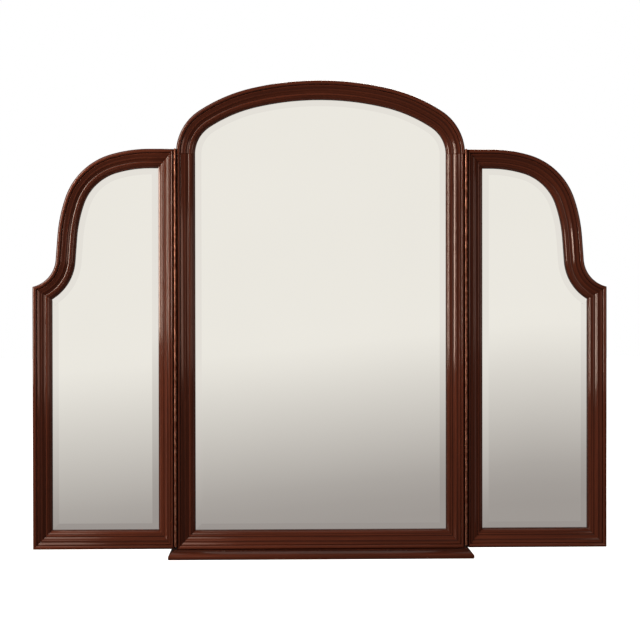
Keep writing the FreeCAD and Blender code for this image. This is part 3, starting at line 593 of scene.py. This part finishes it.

# Where polish gathers and shade is painted in, and where hands and dusters rub: across, high and
# reach, in millimetres
SHADED_HOLLOWS = ((0.0, 14.5, 1.9), (9.4, 20.6, 0.7), (15.2, 20.6, 1.1), (26.4, 25.9, 1.6),
           (35.0, 27.6, 1.2))
CRESTS = ((12.3, 21.4, 1.0), (22.4, 25.4, 0.8), (32.7, 28.9, 0.9), (39.3, 32.0, 2.2))
# Polish and painted shade for the plinth, at the foot of its shoulder and over the top of its
# curve, from the foot of its shoulder outwards and upwards
PLINTH_SHADED_HOLLOWS = ((0.6, 0.0, 2.0), (4.0, -4.0, 5.0))

# The first board of each group of members; the centre's are 1 to 4
RIGHT_WING_BOARDS, LEFT_WING_BOARDS, PLINTH_BOARDS = 5, 9, 14
BOARD_STEP = (0.37, 0.11, 1.7)   # from one board to the next, in metres of the same wood


def nearness(across, height, places):
    """1 at each of the places, and about a third at its reach."""
    falls = [math.exp(-((across - x) ** 2 + (height - z) ** 2) / reach ** 2)
             for x, z, reach in places]
    return min(1.0, sum(falls))


def lay_wood(piece, board, locate, hollows, crests=()):
    """Stores how the grain runs, and where old polish with painted shade and wear lie, in a piece's
    mesh.

    Locate gives a point's place in the board in metres, and on the section in millimetres.
    """
    mesh = piece.data
    for name, kind in WOOD_DATA.items():
        mesh.attributes.new(name, kind, "POINT")
    grain, grime, rub = [mesh.attributes[name].data for name in WOOD_DATA]
    shift = [step * board for step in BOARD_STEP]
    for vertex in mesh.vertices:
        place, on_section = locate(*vertex.co)
        grain[vertex.index].vector = [a + b for a, b in zip(place, shift)]
        # old polish and painted shade, strongest at the hollows
        grime[vertex.index].value = nearness(*on_section, hollows)
        rub[vertex.index].value = nearness(*on_section, crests)


def finish_member(piece, stretches, width, board, node, body, side=1.0):
    """Lays the wood along a member, polishes it and ties it to the construction."""
    starts = [sum(stretch.extent for stretch in stretches[:index])
              for index in range(len(stretches))]
    scale = PROFILE_WIDTH / width / MM

    def locate(x, y, z):
        _, index = min((stretch.measure(side * x, z)[2], index)
                       for index, stretch in enumerate(stretches))
        distance, across, _ = stretches[index].measure(side * x, z)
        height = BACK_Y - y
        return (across, height, starts[index] + distance), (across * scale, height / MM)

    lay_wood(piece, board, locate, SHADED_HOLLOWS, CRESTS)
    finish_piece(piece, node, body, "mahogany", polished_mahogany())


# ---- Shader building ----
WHITE = (1.0, 1.0, 1.0)
# Scales of the noise in wood, per metre: twice across the grain, then along it
RIBBONS = (55.0, 55.0, 2.2)
STREAKS = (330.0, 330.0, 5.5)
PORES = (1500.0, 1500.0, 46.0)
BLOTCHES = (160.0, 160.0, 70.0)
# What ribbons and streaks add to the figure, and how much of it is relief
RIBBON_SHARE, STREAK_SHARE, RELIEF = 0.62, 0.38, 0.25
# The polish: most and least dirt and painted shade in a hollow, how dull it is, how uneven the
# gloss is
DIRT_AND_SHADE_SPREAD, DIRT_AND_SHADE_LEAST, DIRT_DULLS, GLOSS_SPREAD = 0.5, 0.25, 0.22, 0.12
# How far the crests are worn, and how light bare wood is against the warm colour
CREST_WEAR, BARE_WOOD = 0.22, 1.6


def feed(tree, node, inputs):
    """Gives a node's inputs their values and colours, or links them to the sockets given."""
    for key, value in dict(inputs).items():
        socket = node.inputs[key]
        if isinstance(value, bpy.types.NodeSocket):
            tree.links.new(value, socket)
        else:
            socket.default_value = (*value, 1.0) if socket.type == "RGBA" else value


def add_node(tree, kind, inputs=(), **settings):
    """A node with its settings and its inputs."""
    node = tree.nodes.new(kind)
    for key, value in settings.items():
        setattr(node, key, value)
    feed(tree, node, inputs)
    return node


def shaded(tone, share):
    """A colour made darker or lighter."""
    return [min(1.0, part * share) for part in tone]


def ramp(tree, factor, stops):
    """A colour ramp through stops of grey or of colour."""
    node = add_node(tree, "ShaderNodeValToRGB", {"Fac": factor})
    elements = node.color_ramp.elements
    while len(elements) < len(stops):
        elements.new(0.5)
    for element, (position, value) in zip(elements, stops):
        element.position = position
        element.color = (*value, 1.0) if hasattr(value, "__len__") else (*(value,) * 3, 1.0)
    return node.outputs["Color"]


def mix(tree, factor, first, second):
    """A mix of two colours, which go in at sockets 6 and 7 of the node and come out at 2."""
    node = add_node(tree, "ShaderNodeMix", {0: factor, 6: first, 7: second}, data_type="RGBA")
    return node.outputs[2]


def noise(tree, vector, scale, detail=2.0, roughness=0.5, distortion=0.0):
    """Noise with a scale of its own along each part of the vector."""
    place = add_node(tree, "ShaderNodeVectorMath", {0: vector, 1: scale}, operation="MULTIPLY")
    node = add_node(tree, "ShaderNodeTexNoise",
                    {"Vector": place.outputs[0], "Scale": 1.0, "Detail": detail,
                     "Roughness": roughness, "Distortion": distortion})
    return node.outputs["Fac"]


def object_place(tree):
    return add_node(tree, "ShaderNodeTexCoord").outputs["Object"]


def maths(tree, operation, first, second=0.0, third=0.0):
    node = add_node(tree, "ShaderNodeMath", {0: first, 1: second, 2: third},
                    operation=operation)
    return node.outputs[0]


def bump(tree, height, strength, distance):
    node = add_node(tree, "ShaderNodeBump",
                    {"Height": height, "Strength": strength, "Distance": distance})
    return node.outputs["Normal"]


def map_range(tree, value, low, high, first=0.0, last=1.0):
    """A value that runs from first to last while another goes from low to high."""
    node = add_node(tree, "ShaderNodeMapRange", {0: value, 1: low, 2: high, 3: first, 4: last})
    return node.outputs[0]


def finish(build):
    """Makes a function that gives the inputs of a shader into one that gives the material.

    The material is made one time, and is named for the function or for its first argument.
    """
    @functools.cache
    def make(*names):
        material = bpy.data.materials.new(names[0] if names else build.__name__)
        material.use_nodes = True
        tree = material.node_tree
        feed(tree, tree.nodes["Principled BSDF"], build(tree, *names))
        return material

    return make


@functools.cache
def wood_figure():
    """Ribbon figure and open pores along the third part of the grain vector, in metres."""
    tree = bpy.data.node_groups.new("wood_figure", "ShaderNodeTree")
    sockets = tree.interface
    sockets.new_socket(name="Grain", in_out="INPUT", socket_type="NodeSocketVector")
    for name in ("Deep", "Warm", "Pore"):
        sockets.new_socket(name=name, in_out="INPUT", socket_type="NodeSocketColor")
    sockets.new_socket(name="Pore Strength", in_out="INPUT", socket_type="NodeSocketFloat")
    sockets.new_socket(name="Color", in_out="OUTPUT", socket_type="NodeSocketColor")
    sockets.new_socket(name="Height", in_out="OUTPUT", socket_type="NodeSocketFloat")
    given = tree.nodes.new("NodeGroupInput").outputs
    grain = given["Grain"]
    ribbon = noise(tree, grain, RIBBONS, detail=3.0, roughness=0.55, distortion=0.6)
    streak = noise(tree, grain, STREAKS, roughness=0.6)
    figure = maths(tree, "ADD", maths(tree, "MULTIPLY", ribbon, RIBBON_SHARE),
                   maths(tree, "MULTIPLY", streak, STREAK_SHARE))
    share = ramp(tree, figure, [(0.28, 0.0), (0.50, 0.45), (0.72, 1.0)])
    wood = mix(tree, share, given["Deep"], given["Warm"])
    pores = ramp(tree, noise(tree, grain, PORES, detail=1.0), [(0.62, 0.0), (0.70, 1.0)])
    pore_share = maths(tree, "MULTIPLY", pores, given["Pore Strength"])
    height = maths(tree, "SUBTRACT", maths(tree, "MULTIPLY", figure, RELIEF), pore_share)
    add_node(tree, "NodeGroupOutput",
             {"Color": mix(tree, pore_share, wood, given["Pore"]), "Height": height})
    return tree


def figured(tree, grain, tone, pore_strength):
    """The outputs of the wood's figure, in the deep and the warm colour of a tone."""
    colours = sizes("finish")
    inputs = {"Grain": grain, "Deep": getattr(colours, tone + "_deep"),
              "Warm": getattr(colours, tone + "_warm"), "Pore": colours.mahogany_pore,
              "Pore Strength": pore_strength}
    return add_node(tree, "ShaderNodeGroup", inputs, node_tree=wood_figure()).outputs


@finish
def polished_mahogany(tree):
    """Deep red-brown mahogany under old French polish, its grain laid along each member, its
    hollows darkened by old polish and painted shade.
    """
    colours = sizes("finish")
    grain, grime, rub = [add_node(tree, "ShaderNodeAttribute", attribute_name=name).outputs
                         for name in WOOD_DATA]
    figure = figured(tree, grain["Vector"], "mahogany", pore_strength=0.25)
    blotch = noise(tree, grain["Vector"], BLOTCHES, detail=3.0, roughness=0.6)
    # Old polish and painted shade darken the hollows, patchy along the grain
    patchy = maths(tree, "MULTIPLY_ADD", blotch, DIRT_AND_SHADE_SPREAD, DIRT_AND_SHADE_LEAST)
    dirt_and_shade = maths(tree, "MULTIPLY", grime["Fac"], patchy)
    toned = mix(tree, dirt_and_shade, figure["Color"], colours.old_polish)
    wear = maths(tree, "MULTIPLY", rub["Fac"], CREST_WEAR)
    gloss = maths(tree, "MULTIPLY_ADD", blotch, GLOSS_SPREAD, colours.polish - GLOSS_SPREAD / 2)
    return {"Base Color": mix(tree, wear, toned, shaded(colours.mahogany_warm, BARE_WOOD)),
            "Roughness": maths(tree, "MULTIPLY_ADD", dirt_and_shade, DIRT_DULLS, gloss),
            "Normal": bump(tree, figure["Height"], strength=0.12, distance=0.0004),
            "Specular IOR Level": 0.44}


# Each plain wood's tone, turn of the grain and roughness
UPRIGHT, LEVEL = (0.0, 0.0, 0.0), (0.0, math.radians(90.0), 0.0)
PLAIN_WOODS = {"backboard_stain": ("board", UPRIGHT, 0.5),
               "spline_wood": ("board", UPRIGHT, 0.55),
               "plinth_board_wood": ("mahogany", LEVEL, 0.3),
               "bracket_wood": ("mahogany", UPRIGHT, 0.34)}
DUST_SHADE, DUST_DULLS = 0.55, 0.16      # dusty wood against deep wood, and its added roughness


@finish
def plain_wood(tree, name):
    """Wood whose grain runs straight through a piece, under a little dust."""
    tone, turn, gloss = PLAIN_WOODS[name]
    place = object_place(tree)
    grain = add_node(tree, "ShaderNodeMapping", {"Vector": place, "Rotation": turn})
    figure = figured(tree, grain.outputs["Vector"], tone, pore_strength=0.4)
    dust = noise(tree, place, (9.0, 9.0, 9.0), detail=4.0, roughness=0.6)
    dusty = mix(tree, ramp(tree, dust, [(0.45, 0.0), (0.8, 0.35)]), figure["Color"],
                shaded(getattr(sizes("finish"), tone + "_deep"), DUST_SHADE))
    return {"Base Color": dusty,
            "Roughness": maths(tree, "MULTIPLY_ADD", dust, DUST_DULLS, gloss),
            "Normal": bump(tree, figure["Height"], strength=0.2, distance=0.0005)}


HAZE = 0.985                     # reflection where the glass is hazy, against the clear glass


@finish
def silvered(tree, _, tint_name):
    """Silvered plate glass, with the faint haze of an old mirror."""
    haze = noise(tree, object_place(tree), (3.0, 3.0, 3.0))
    tint = getattr(sizes("finish"), tint_name)
    hazy = ramp(tree, haze, [(0.35, 0.0), (0.75, 1.0)])
    clear = mix(tree, hazy, tint, shaded(tint, HAZE))
    return {"Base Color": clear, "Metallic": 1.0, "Roughness": 0.0}


PAINT_DARK, PAINT_LIGHT = (0.05, 0.018, 0.012), (0.09, 0.03, 0.02)


@finish
def backing_paint(tree):
    """Red-brown protective paint on the back and the edges of the glass."""
    brushed = noise(tree, object_place(tree), (40.0, 40.0, 400.0), detail=3.0)
    paint = ramp(tree, brushed, [(0.3, PAINT_DARK), (0.7, PAINT_LIGHT)])
    return {"Base Color": paint, "Roughness": 0.75}


# Each metal's clean colour, share of tarnish and roughness where it is clean
METALS = {"hinge_brass": ("brass", 0.45, 0.42), "screw_brass": ("brass", 0.3, 0.35),
          "pin_steel": ("steel", 0.2, 0.3), "dull_steel": ("steel", 0.35, 0.42)}
# Where patches begin and end in the noise, how far a full share shifts that, and how dull
PATCH_LOW, PATCH_HIGH, PATCH_SHIFT, PATCH_DULLS = 0.55, 0.75, 0.4, 0.25


@finish
def aged_metal(tree, name):
    """Metal with patches of tarnish."""
    clean, share, roughness = METALS[name]
    colours = sizes("finish")
    patches = noise(tree, object_place(tree), (180.0, 180.0, 95.0), detail=4.0, roughness=0.65)
    shift = share * PATCH_SHIFT
    dull = ramp(tree, patches, [(PATCH_LOW - shift, 0.0), (PATCH_HIGH - shift, 1.0)])
    return {"Base Color": mix(tree, dull, getattr(colours, clean), colours.tarnish),
            "Roughness": maths(tree, "MULTIPLY_ADD", dull, PATCH_DULLS, roughness),
            "Metallic": 1.0}


@finish
def wool_felt(tree):
    """Dark wool felt."""
    felt = sizes("finish").felt
    fibres = noise(tree, object_place(tree), (900.0, 900.0, 900.0), detail=4.0, roughness=0.7)
    wool = ramp(tree, fibres, [(0.3, shaded(felt, 0.6)), (0.7, shaded(felt, 1.6))])
    return {"Base Color": wool, "Normal": bump(tree, fibres, strength=0.6, distance=0.0008),
            "Roughness": 0.95, "Sheen Weight": 0.3}


# ---- Pieces ----
class MIRROR_OT_centre_frame(bpy.types.Operator):
    """Model the stiles, bottom rail and arch of the centre panel"""

    bl_idname = "dressing_mirror.centre_frame"
    bl_label = "Centre Frame"

    def execute(self, context):
        width = PROFILE_WIDTH
        corner = ((CENTRE_SIGHT, CENTRE_BOTTOM + width), (CENTRE_SIDE, CENTRE_BOTTOM))
        opposite = [(-x, z) for x, z in corner]

        path = [Run(corner[0], (CENTRE_SIGHT, SPRINGING), RIGHT)]
        nest = (CENTRE_SIDE, 0.0, 2 * SPRINGING)
        right = member("centre_stile_right", width, path, corner, nest=nest)
        left = mirrored(right, "centre_stile_left")
        finish_member(right, path, width, 1, "center_right_stile", "root")
        finish_member(left, path, width, 2, "center_left_stile", "root", side=-1.0)

        path = [Run(opposite[0], corner[0], DOWN)]
        rail = member("centre_bottom_rail", width, path, opposite, corner)
        finish_member(rail, path, width, 3, "center_bottom_rail", "root")

        path = arch_bends()
        arch = member("centre_arch", width, path)
        finish_member(arch, path, width, 4, "center_arch", "root")
        return {"FINISHED"}


class MIRROR_OT_wing_frames(bpy.types.Operator):
    """Model the stiles, bottom rails and curved top rails of both wings"""

    bl_idname = "dressing_mirror.wing_frames"
    bl_label = "Wing Frames"

    def execute(self, context):
        panel = sizes("panels")
        sight_low, sight_top = WING_BOTTOM + PROFILE_WIDTH, WING_TOP - PROFILE_WIDTH
        stile_width = WING_SIGHT_HINGE - WING_SIDE
        hinge_low = ((WING_SIGHT_HINGE, sight_low), (WING_SIDE, WING_BOTTOM))
        hinge_top = ((WING_SIGHT_HINGE, sight_top), (WING_SIDE, WING_TOP))
        outer_low = ((WING_SIGHT_OUTER, sight_low), (WING_OUTER, WING_BOTTOM))
        nest = (WING_SIDE, -WING_TOP, 2 * WING_TOP)
        stretches, hollow, hollow_sight = wing_stretches()
        stretches.append(Bend(hollow, hollow_sight, panel.flank_angle, panel.hollow_angle,
                              hollow=True))

        def shoulder(across):
            return shoulder_point(hollow, hollow_sight, across)

        # Each member's width, path, two joints and the nest of the knuckles in it
        members = {
            "hinge_stile": (stile_width, [Run(hinge_low[0], hinge_top[0], LEFT)],
                            hinge_low, hinge_top, nest),
            "outer_stile": (PROFILE_WIDTH, [Run(outer_low[0], shoulder(0.0), RIGHT)],
                            outer_low, shoulder, None),
            "bottom_rail": (PROFILE_WIDTH, [Run(hinge_low[0], outer_low[0], DOWN)],
                            hinge_low, outer_low, nest),
            "top_rail": (PROFILE_WIDTH, stretches, hinge_top, shoulder, nest),
        }
        for index, (name, (width, path, *ends)) in enumerate(members.items()):
            right = member("wing_" + name + "_right", width, path, *ends)
            left = mirrored(right, "wing_" + name + "_left")
            finish_member(right, path, width, RIGHT_WING_BOARDS + index,
                          "right_wing_" + name, "right_wing")
            finish_member(left, path, width, LEFT_WING_BOARDS + index,
                          "left_wing_" + name, "left_wing", side=-1.0)
        return {"FINISHED"}


def glass_plate(name, outline):
    """A plate from its outline: the flat back, the edge, the ground bevel and the face."""
    panel = sizes("panels")
    corners = [at(x, z, GLASS_BACK) for x, z in outline(GLASS_REACH)]
    plate = start_piece(name, corners, fill="NGON")
    rise = GLASS_FACE - GLASS_BACK - panel.bevel_drop
    extrude(0.0, -rise, 0.0)
    bpy.ops.mesh.inset(thickness=panel.bevel_width, depth=0.0, use_even_offset=True)
    bpy.ops.transform.translate(value=(0.0, -panel.bevel_drop, 0.0))
    bpy.ops.object.mode_set(mode="OBJECT")
    face_outwards(plate)
    return plate


# How squarely the face and the bevel of a plate look forwards, at least
FACE_FORWARDS, BEVEL_FORWARDS = 0.9999, 0.9
CREASE = math.radians(2.0)       # edges of a plate sharper than this stay crisp


class MIRROR_OT_glass(bpy.types.Operator):
    """Model the three bevelled mirror plates"""

    bl_idname = "dressing_mirror.glass"
    bl_label = "Mirror Glass"

    def execute(self, context):
        centre = glass_plate("centre_glass", centre_outline)
        right = glass_plate("wing_glass_right", wing_outline)
        left = mirrored(right, "wing_glass_left")
        for plate, node, body in ((centre, "center_mirror_glass", "root"),
                                  (right, "right_wing_mirror_glass", "right_wing"),
                                  (left, "left_wing_mirror_glass", "left_wing")):
            finish_piece(plate, node, body, "silvered_glass",
                         silvered("silvered_face", "silver"),
                         silvered("silvered_bevel", "bevel"), backing_paint())
            for face in plate.data.polygons:
                forwards = -face.normal.y
                # 0 on the face, 1 on the bevel and 2 elsewhere
                face.material_index = (forwards <= FACE_FORWARDS) + (forwards <= BEVEL_FORWARDS)
            pick(plate)
            bpy.ops.object.shade_smooth_by_angle(angle=CREASE)
        return {"FINISHED"}


class MIRROR_OT_backs(bpy.types.Operator):
    """Finish the backboards, the packing, the splines and the screws behind"""

    bl_idname = "dressing_mirror.backs"
    bl_label = "Backs"

    def execute(self, context):
        for panel in ("center", "left_wing", "right_wing"):
            dress(panel + "_backboard", plain_wood("backboard_stain"))
            dress(panel + "_felt_packing", wool_felt())
            dress(panel + "_corner_splines", plain_wood("spline_wood"))
            dress(panel + "_backboard_screws", aged_metal("dull_steel"))
        return {"FINISHED"}


class MIRROR_OT_hinges(bpy.types.Operator):
    """Finish the continuous hinges, their pins and their screws"""

    bl_idname = "dressing_mirror.hinges"
    bl_label = "Hinges"

    def execute(self, context):
        for side in ("left", "right"):
            for leaf in ("fixed", "moving"):
                dress(side + "_hinge_" + leaf + "_leaf", aged_metal("hinge_brass"))
                dress(side + "_hinge_" + leaf + "_screws", aged_metal("screw_brass"))
            dress(side + "_hinge_pin", aged_metal("pin_steel"))
        return {"FINISHED"}


def plinth_section():
    """The plinth moulding: distances out from the glue line, and heights."""
    size = sizes("plinth")
    width = BOARD_LOW.y - PLINTH_LOW.y
    top = PLINTH_HIGH.z
    shoulder = width - size.run
    curve = (shoulder + size.fillet, top - size.step)
    points = [(0.0, 0.0), (0.0, top), (shoulder, top), (shoulder, top - size.step), curve]
    points += arc_points(curve, (width, size.nose), size.bulge, steps=10)
    return points + [(width, size.ease), (width - size.ease, 0.0)]


def plinth_moulding(name, side, travel, shape_end):
    """A straight length of that moulding, from a front corner to its shaped far end."""
    ring = [Vector((side * (BOARD_HIGH.x + out), BOARD_LOW.y - out, z))
            for out, z in plinth_section()]
    piece = start_piece(name, ring)
    extrude(*travel)
    bpy.ops.object.mode_set(mode="OBJECT")
    for vertex in piece.data.vertices:
        if vertex.select:
            shape_end(vertex.co)
    close_piece(piece)
    soften(piece, sizes("plinth").arris)
    return piece


class MIRROR_OT_plinth(bpy.types.Operator):
    """Model the plinth's mitred mouldings and finish its board and screws"""

    bl_idname = "dressing_mirror.plinth"
    bl_label = "Plinth"

    def execute(self, context):
        size = sizes("plinth")
        front_y, side_x, back_y = BOARD_LOW.y, BOARD_HIGH.x, BOARD_HIGH.y

        def to_mitre(place):
            place.x = side_x + front_y - place.y

        def to_back(place):
            place.y = back_y

        front = plinth_moulding("plinth_moulding_front", -1.0, (2.0 * side_x, 0.0, 0.0), to_mitre)
        right = plinth_moulding("plinth_moulding_right", 1.0, (0.0, back_y - front_y, 0.0), to_back)
        left = mirrored(right, "plinth_moulding_left")
        shoulder = front_y - PLINTH_LOW.y - size.run
        foot = PLINTH_HIGH.z - size.step

        def located(out, z, way):
            return (out, z, way), ((out - shoulder) / MM, (z - foot) / MM)

        def on_front(x, y, z):
            return located(front_y - y, z, x)

        def on_side(x, y, z):
            return located(abs(x) - side_x, z, y)

        for index, (piece, node, locate) in enumerate(
                ((front, "plinth_front_moulding", on_front),
                 (right, "plinth_right_moulding", on_side),
                 (left, "plinth_left_moulding", on_side))):
            # The plinth's hollows take old polish and painted shade at the shoulder's foot and the
            # curve's top
            lay_wood(piece, PLINTH_BOARDS + index, locate, PLINTH_SHADED_HOLLOWS)
            finish_piece(piece, node, "root", "mahogany", polished_mahogany())
        dress("plinth_board", plain_wood("plinth_board_wood"))
        dress("plinth_screws", aged_metal("dull_steel"))
        return {"FINISHED"}


class MIRROR_OT_brackets(bpy.types.Operator):
    """Finish the brackets that brace the stiles on the plinth"""

    bl_idname = "dressing_mirror.brackets"
    bl_label = "Back Brackets"

    def execute(self, context):
        dress("left_back_bracket", plain_wood("bracket_wood"))
        dress("right_back_bracket", plain_wood("bracket_wood"))
        dress("bracket_screws", aged_metal("dull_steel"))
        return {"FINISHED"}


# ---- Stage ----
# How the wall fades into the floor: the slopes between which it does, and its course
FLOOR_LOW, FLOOR_HIGH = -0.145, -0.018
FLOOR_FADE = ((0.0, 0.0), (0.095, 0.043), (0.2, 0.128), (0.83, 0.887), (0.93, 0.984), (1.0, 1.0))
FLOOR_SPREAD = 0.17              # the wall's foot leans out to this slope at each side
LEAST_AHEAD = 0.2                # keeps slopes in bounds for directions to the side or back
WALL_FULL, WALL_LEAST = -0.92, -0.6    # a direction's Y where the wall is brightest, and dimmest
SKY_LOW, SKY_HIGH = -0.5, 0.7    # a direction's Z where the light is that from below, and above
FROM_ABOVE = 1.25                # the light from above, against the ambient strength

WARM_LIGHT = (1.0, 0.79, 0.65)
# Each lamp's place, aim, width and height, and colour; its power is a size of the stage
LAMPS = {
    "left_light": ((-2.1, -1.2, 1.45), (0.0, 0.0, 0.9), (0.5, 1.9), WARM_LIGHT),
    "upper_light": ((-1.5, -1.5, 2.7), (0.0, 0.0, 0.6), (1.2, 1.2), WARM_LIGHT),
    "right_light": ((2.4, -2.2, 1.2), (0.0, 0.0, 0.6), (1.0, 1.6), (1.0, 0.62, 0.48)),
    "back_light": ((0.4, 2.3, 2.8), (0.0, 0.0, 0.6), (1.4, 1.4), (1.0, 0.93, 0.85)),
}
FLOOR_SIZE = 30.0
SENSOR_WIDTH = 36.0              # in millimetres


def surroundings():
    """White behind the object, a pale wall over a darker floor for the glass, and a dim room."""
    stage = sizes("stage")
    world = bpy.data.worlds.new("studio")
    bpy.context.scene.world = world
    world.use_nodes = True
    tree = world.node_tree
    tree.nodes.clear()
    rays = add_node(tree, "ShaderNodeLightPath").outputs

    def glow(tone, strength):
        node = add_node(tree, "ShaderNodeBackground", {"Color": tone, "Strength": strength})
        return node.outputs[0]

    def by_ray(kind, others, chosen):
        node = add_node(tree, "ShaderNodeMixShader", {0: rays[kind], 1: others, 2: chosen})
        return node.outputs[0]

    place = add_node(tree, "ShaderNodeTexCoord").outputs["Generated"]
    parts = add_node(tree, "ShaderNodeSeparateXYZ", {0: place}).outputs
    ahead = maths(tree, "MAXIMUM", maths(tree, "MULTIPLY", parts["Y"], -1.0), LEAST_AHEAD)
    sideways = map_range(tree, maths(tree, "DIVIDE", parts["X"], ahead),
                         -FLOOR_SPREAD, FLOOR_SPREAD, -1.0, 1.0)
    rise = maths(tree, "DIVIDE", parts["Z"], ahead)
    lean = maths(tree, "MULTIPLY", sideways, FLOOR_SPREAD * stage.floor_lean)
    climb = map_range(tree, maths(tree, "SUBTRACT", rise, lean), FLOOR_LOW, FLOOR_HIGH)
    wall = ramp(tree, climb, [(position, between(stage.dim, stage.bright, share))
                              for position, share in FLOOR_FADE])
    facing = map_range(tree, parts["Y"], WALL_FULL, WALL_LEAST, 1.0, stage.aside)
    around = map_range(tree, parts["Z"], SKY_LOW, SKY_HIGH,
                       stage.ambient * stage.from_below, stage.ambient * FROM_ABOVE)
    reflected = by_ray("Is Singular Ray", glow(stage.bright, stage.gloom), glow(wall, facing))
    lit = by_ray("Is Diffuse Ray", reflected, glow(stage.bright, around))
    add_node(tree, "ShaderNodeOutputWorld",
             {"Surface": by_ray("Is Camera Ray", lit, glow(WHITE, 1.0))})


def soft_light(name, power, place, aim, size, tone):
    """A large soft light that points at a place."""
    lamp = bpy.data.lights.new(name, "AREA")
    lamp.shape = "RECTANGLE"
    lamp.size, lamp.size_y = size
    lamp.energy = power
    lamp.color = tone
    holder = bpy.data.objects.new(name, lamp)
    bpy.context.collection.objects.link(holder)
    holder.location = place
    holder.rotation_euler = (Vector(aim) - Vector(place)).to_track_quat("-Z", "Y").to_euler()


@finish
def pale_floor(_):
    """Matt pale paint that glows, so that the floor runs into the white behind."""
    return {"Base Color": (0.6, 0.6, 0.6), "Roughness": 0.9, "Specular IOR Level": 0.0,
            "Emission Color": WHITE, "Emission Strength": 0.95}


class MIRROR_OT_stage(bpy.types.Operator):
    """Set up the floor, the surroundings, the lights and the camera"""

    bl_idname = "dressing_mirror.stage"
    bl_label = "Stage"

    def execute(self, context):
        stage = sizes("stage")
        bpy.ops.object.select_all(action="DESELECT")
        bpy.ops.mesh.primitive_plane_add(size=FLOOR_SIZE, location=(0.0, 0.0, 0.0))
        floor = bpy.context.object
        floor.name = "floor"
        floor.data.materials.append(pale_floor())
        floor.visible_glossy = False
        floor.visible_diffuse = False

        surroundings()
        for name, lamp in LAMPS.items():
            soft_light(name, getattr(stage, name), *lamp)

        lens = bpy.data.cameras.new("camera")
        lens.lens = stage.lens
        lens.sensor_width = SENSOR_WIDTH
        camera = bpy.data.objects.new("camera", lens)
        context.collection.objects.link(camera)
        turn = (Matrix.Rotation(-stage.camera_yaw, 4, "Z")
                @ Matrix.Rotation(math.pi / 2 + stage.camera_pitch, 4, "X")
                @ Matrix.Rotation(stage.camera_roll, 4, "Z"))
        camera.matrix_world = Matrix.Translation(stage.camera_place) @ turn
        context.scene.camera = camera
        context.scene.view_settings.view_transform = "Standard"
        context.scene.view_settings.look = "None"
        return {"FINISHED"}


# ---- Panel and registration ----
OPERATORS = (MIRROR_OT_centre_frame, MIRROR_OT_wing_frames, MIRROR_OT_glass, MIRROR_OT_backs,
             MIRROR_OT_hinges, MIRROR_OT_plinth, MIRROR_OT_brackets, MIRROR_OT_stage)
GROUPS = {"mirror_moulding": MouldingSizes, "mirror_panels": PanelSizes,
          "mirror_plinth": PlinthSizes, "mirror_finish": FinishColours,
          "mirror_stage": StageSizes}


class MIRROR_PT_build(bpy.types.Panel):
    """Lists the steps that build the mirror"""

    bl_idname = "MIRROR_PT_build"
    bl_label = "Trifold Mirror"
    bl_space_type = "VIEW_3D"
    bl_region_type = "UI"
    bl_category = "Mirror"

    def draw(self, context):
        for operator in OPERATORS:
            self.layout.operator(operator.bl_idname)
        for group_name, group in GROUPS.items():
            box = self.layout.box()
            box.label(text=group.__doc__)
            for key in group.__annotations__:
                box.prop(getattr(context.scene, group_name), key)


def register():
    for group_name, group in GROUPS.items():
        bpy.utils.register_class(group)
        setattr(bpy.types.Scene, group_name, bpy.props.PointerProperty(type=group))
    for operator in OPERATORS:
        bpy.utils.register_class(operator)
    bpy.utils.register_class(MIRROR_PT_build)


def unregister():
    bpy.utils.unregister_class(MIRROR_PT_build)
    for operator in reversed(OPERATORS):
        bpy.utils.unregister_class(operator)
    for group_name, group in reversed(list(GROUPS.items())):
        delattr(bpy.types.Scene, group_name)
        bpy.utils.unregister_class(group)


def main():
    register()
    steps = bpy.ops.dressing_mirror
    steps.centre_frame()
    steps.wing_frames()
    steps.glass()
    steps.backs()
    steps.hinges()
    steps.plinth()
    steps.brackets()
    steps.stage()


if __name__ == "__main__":
    main()
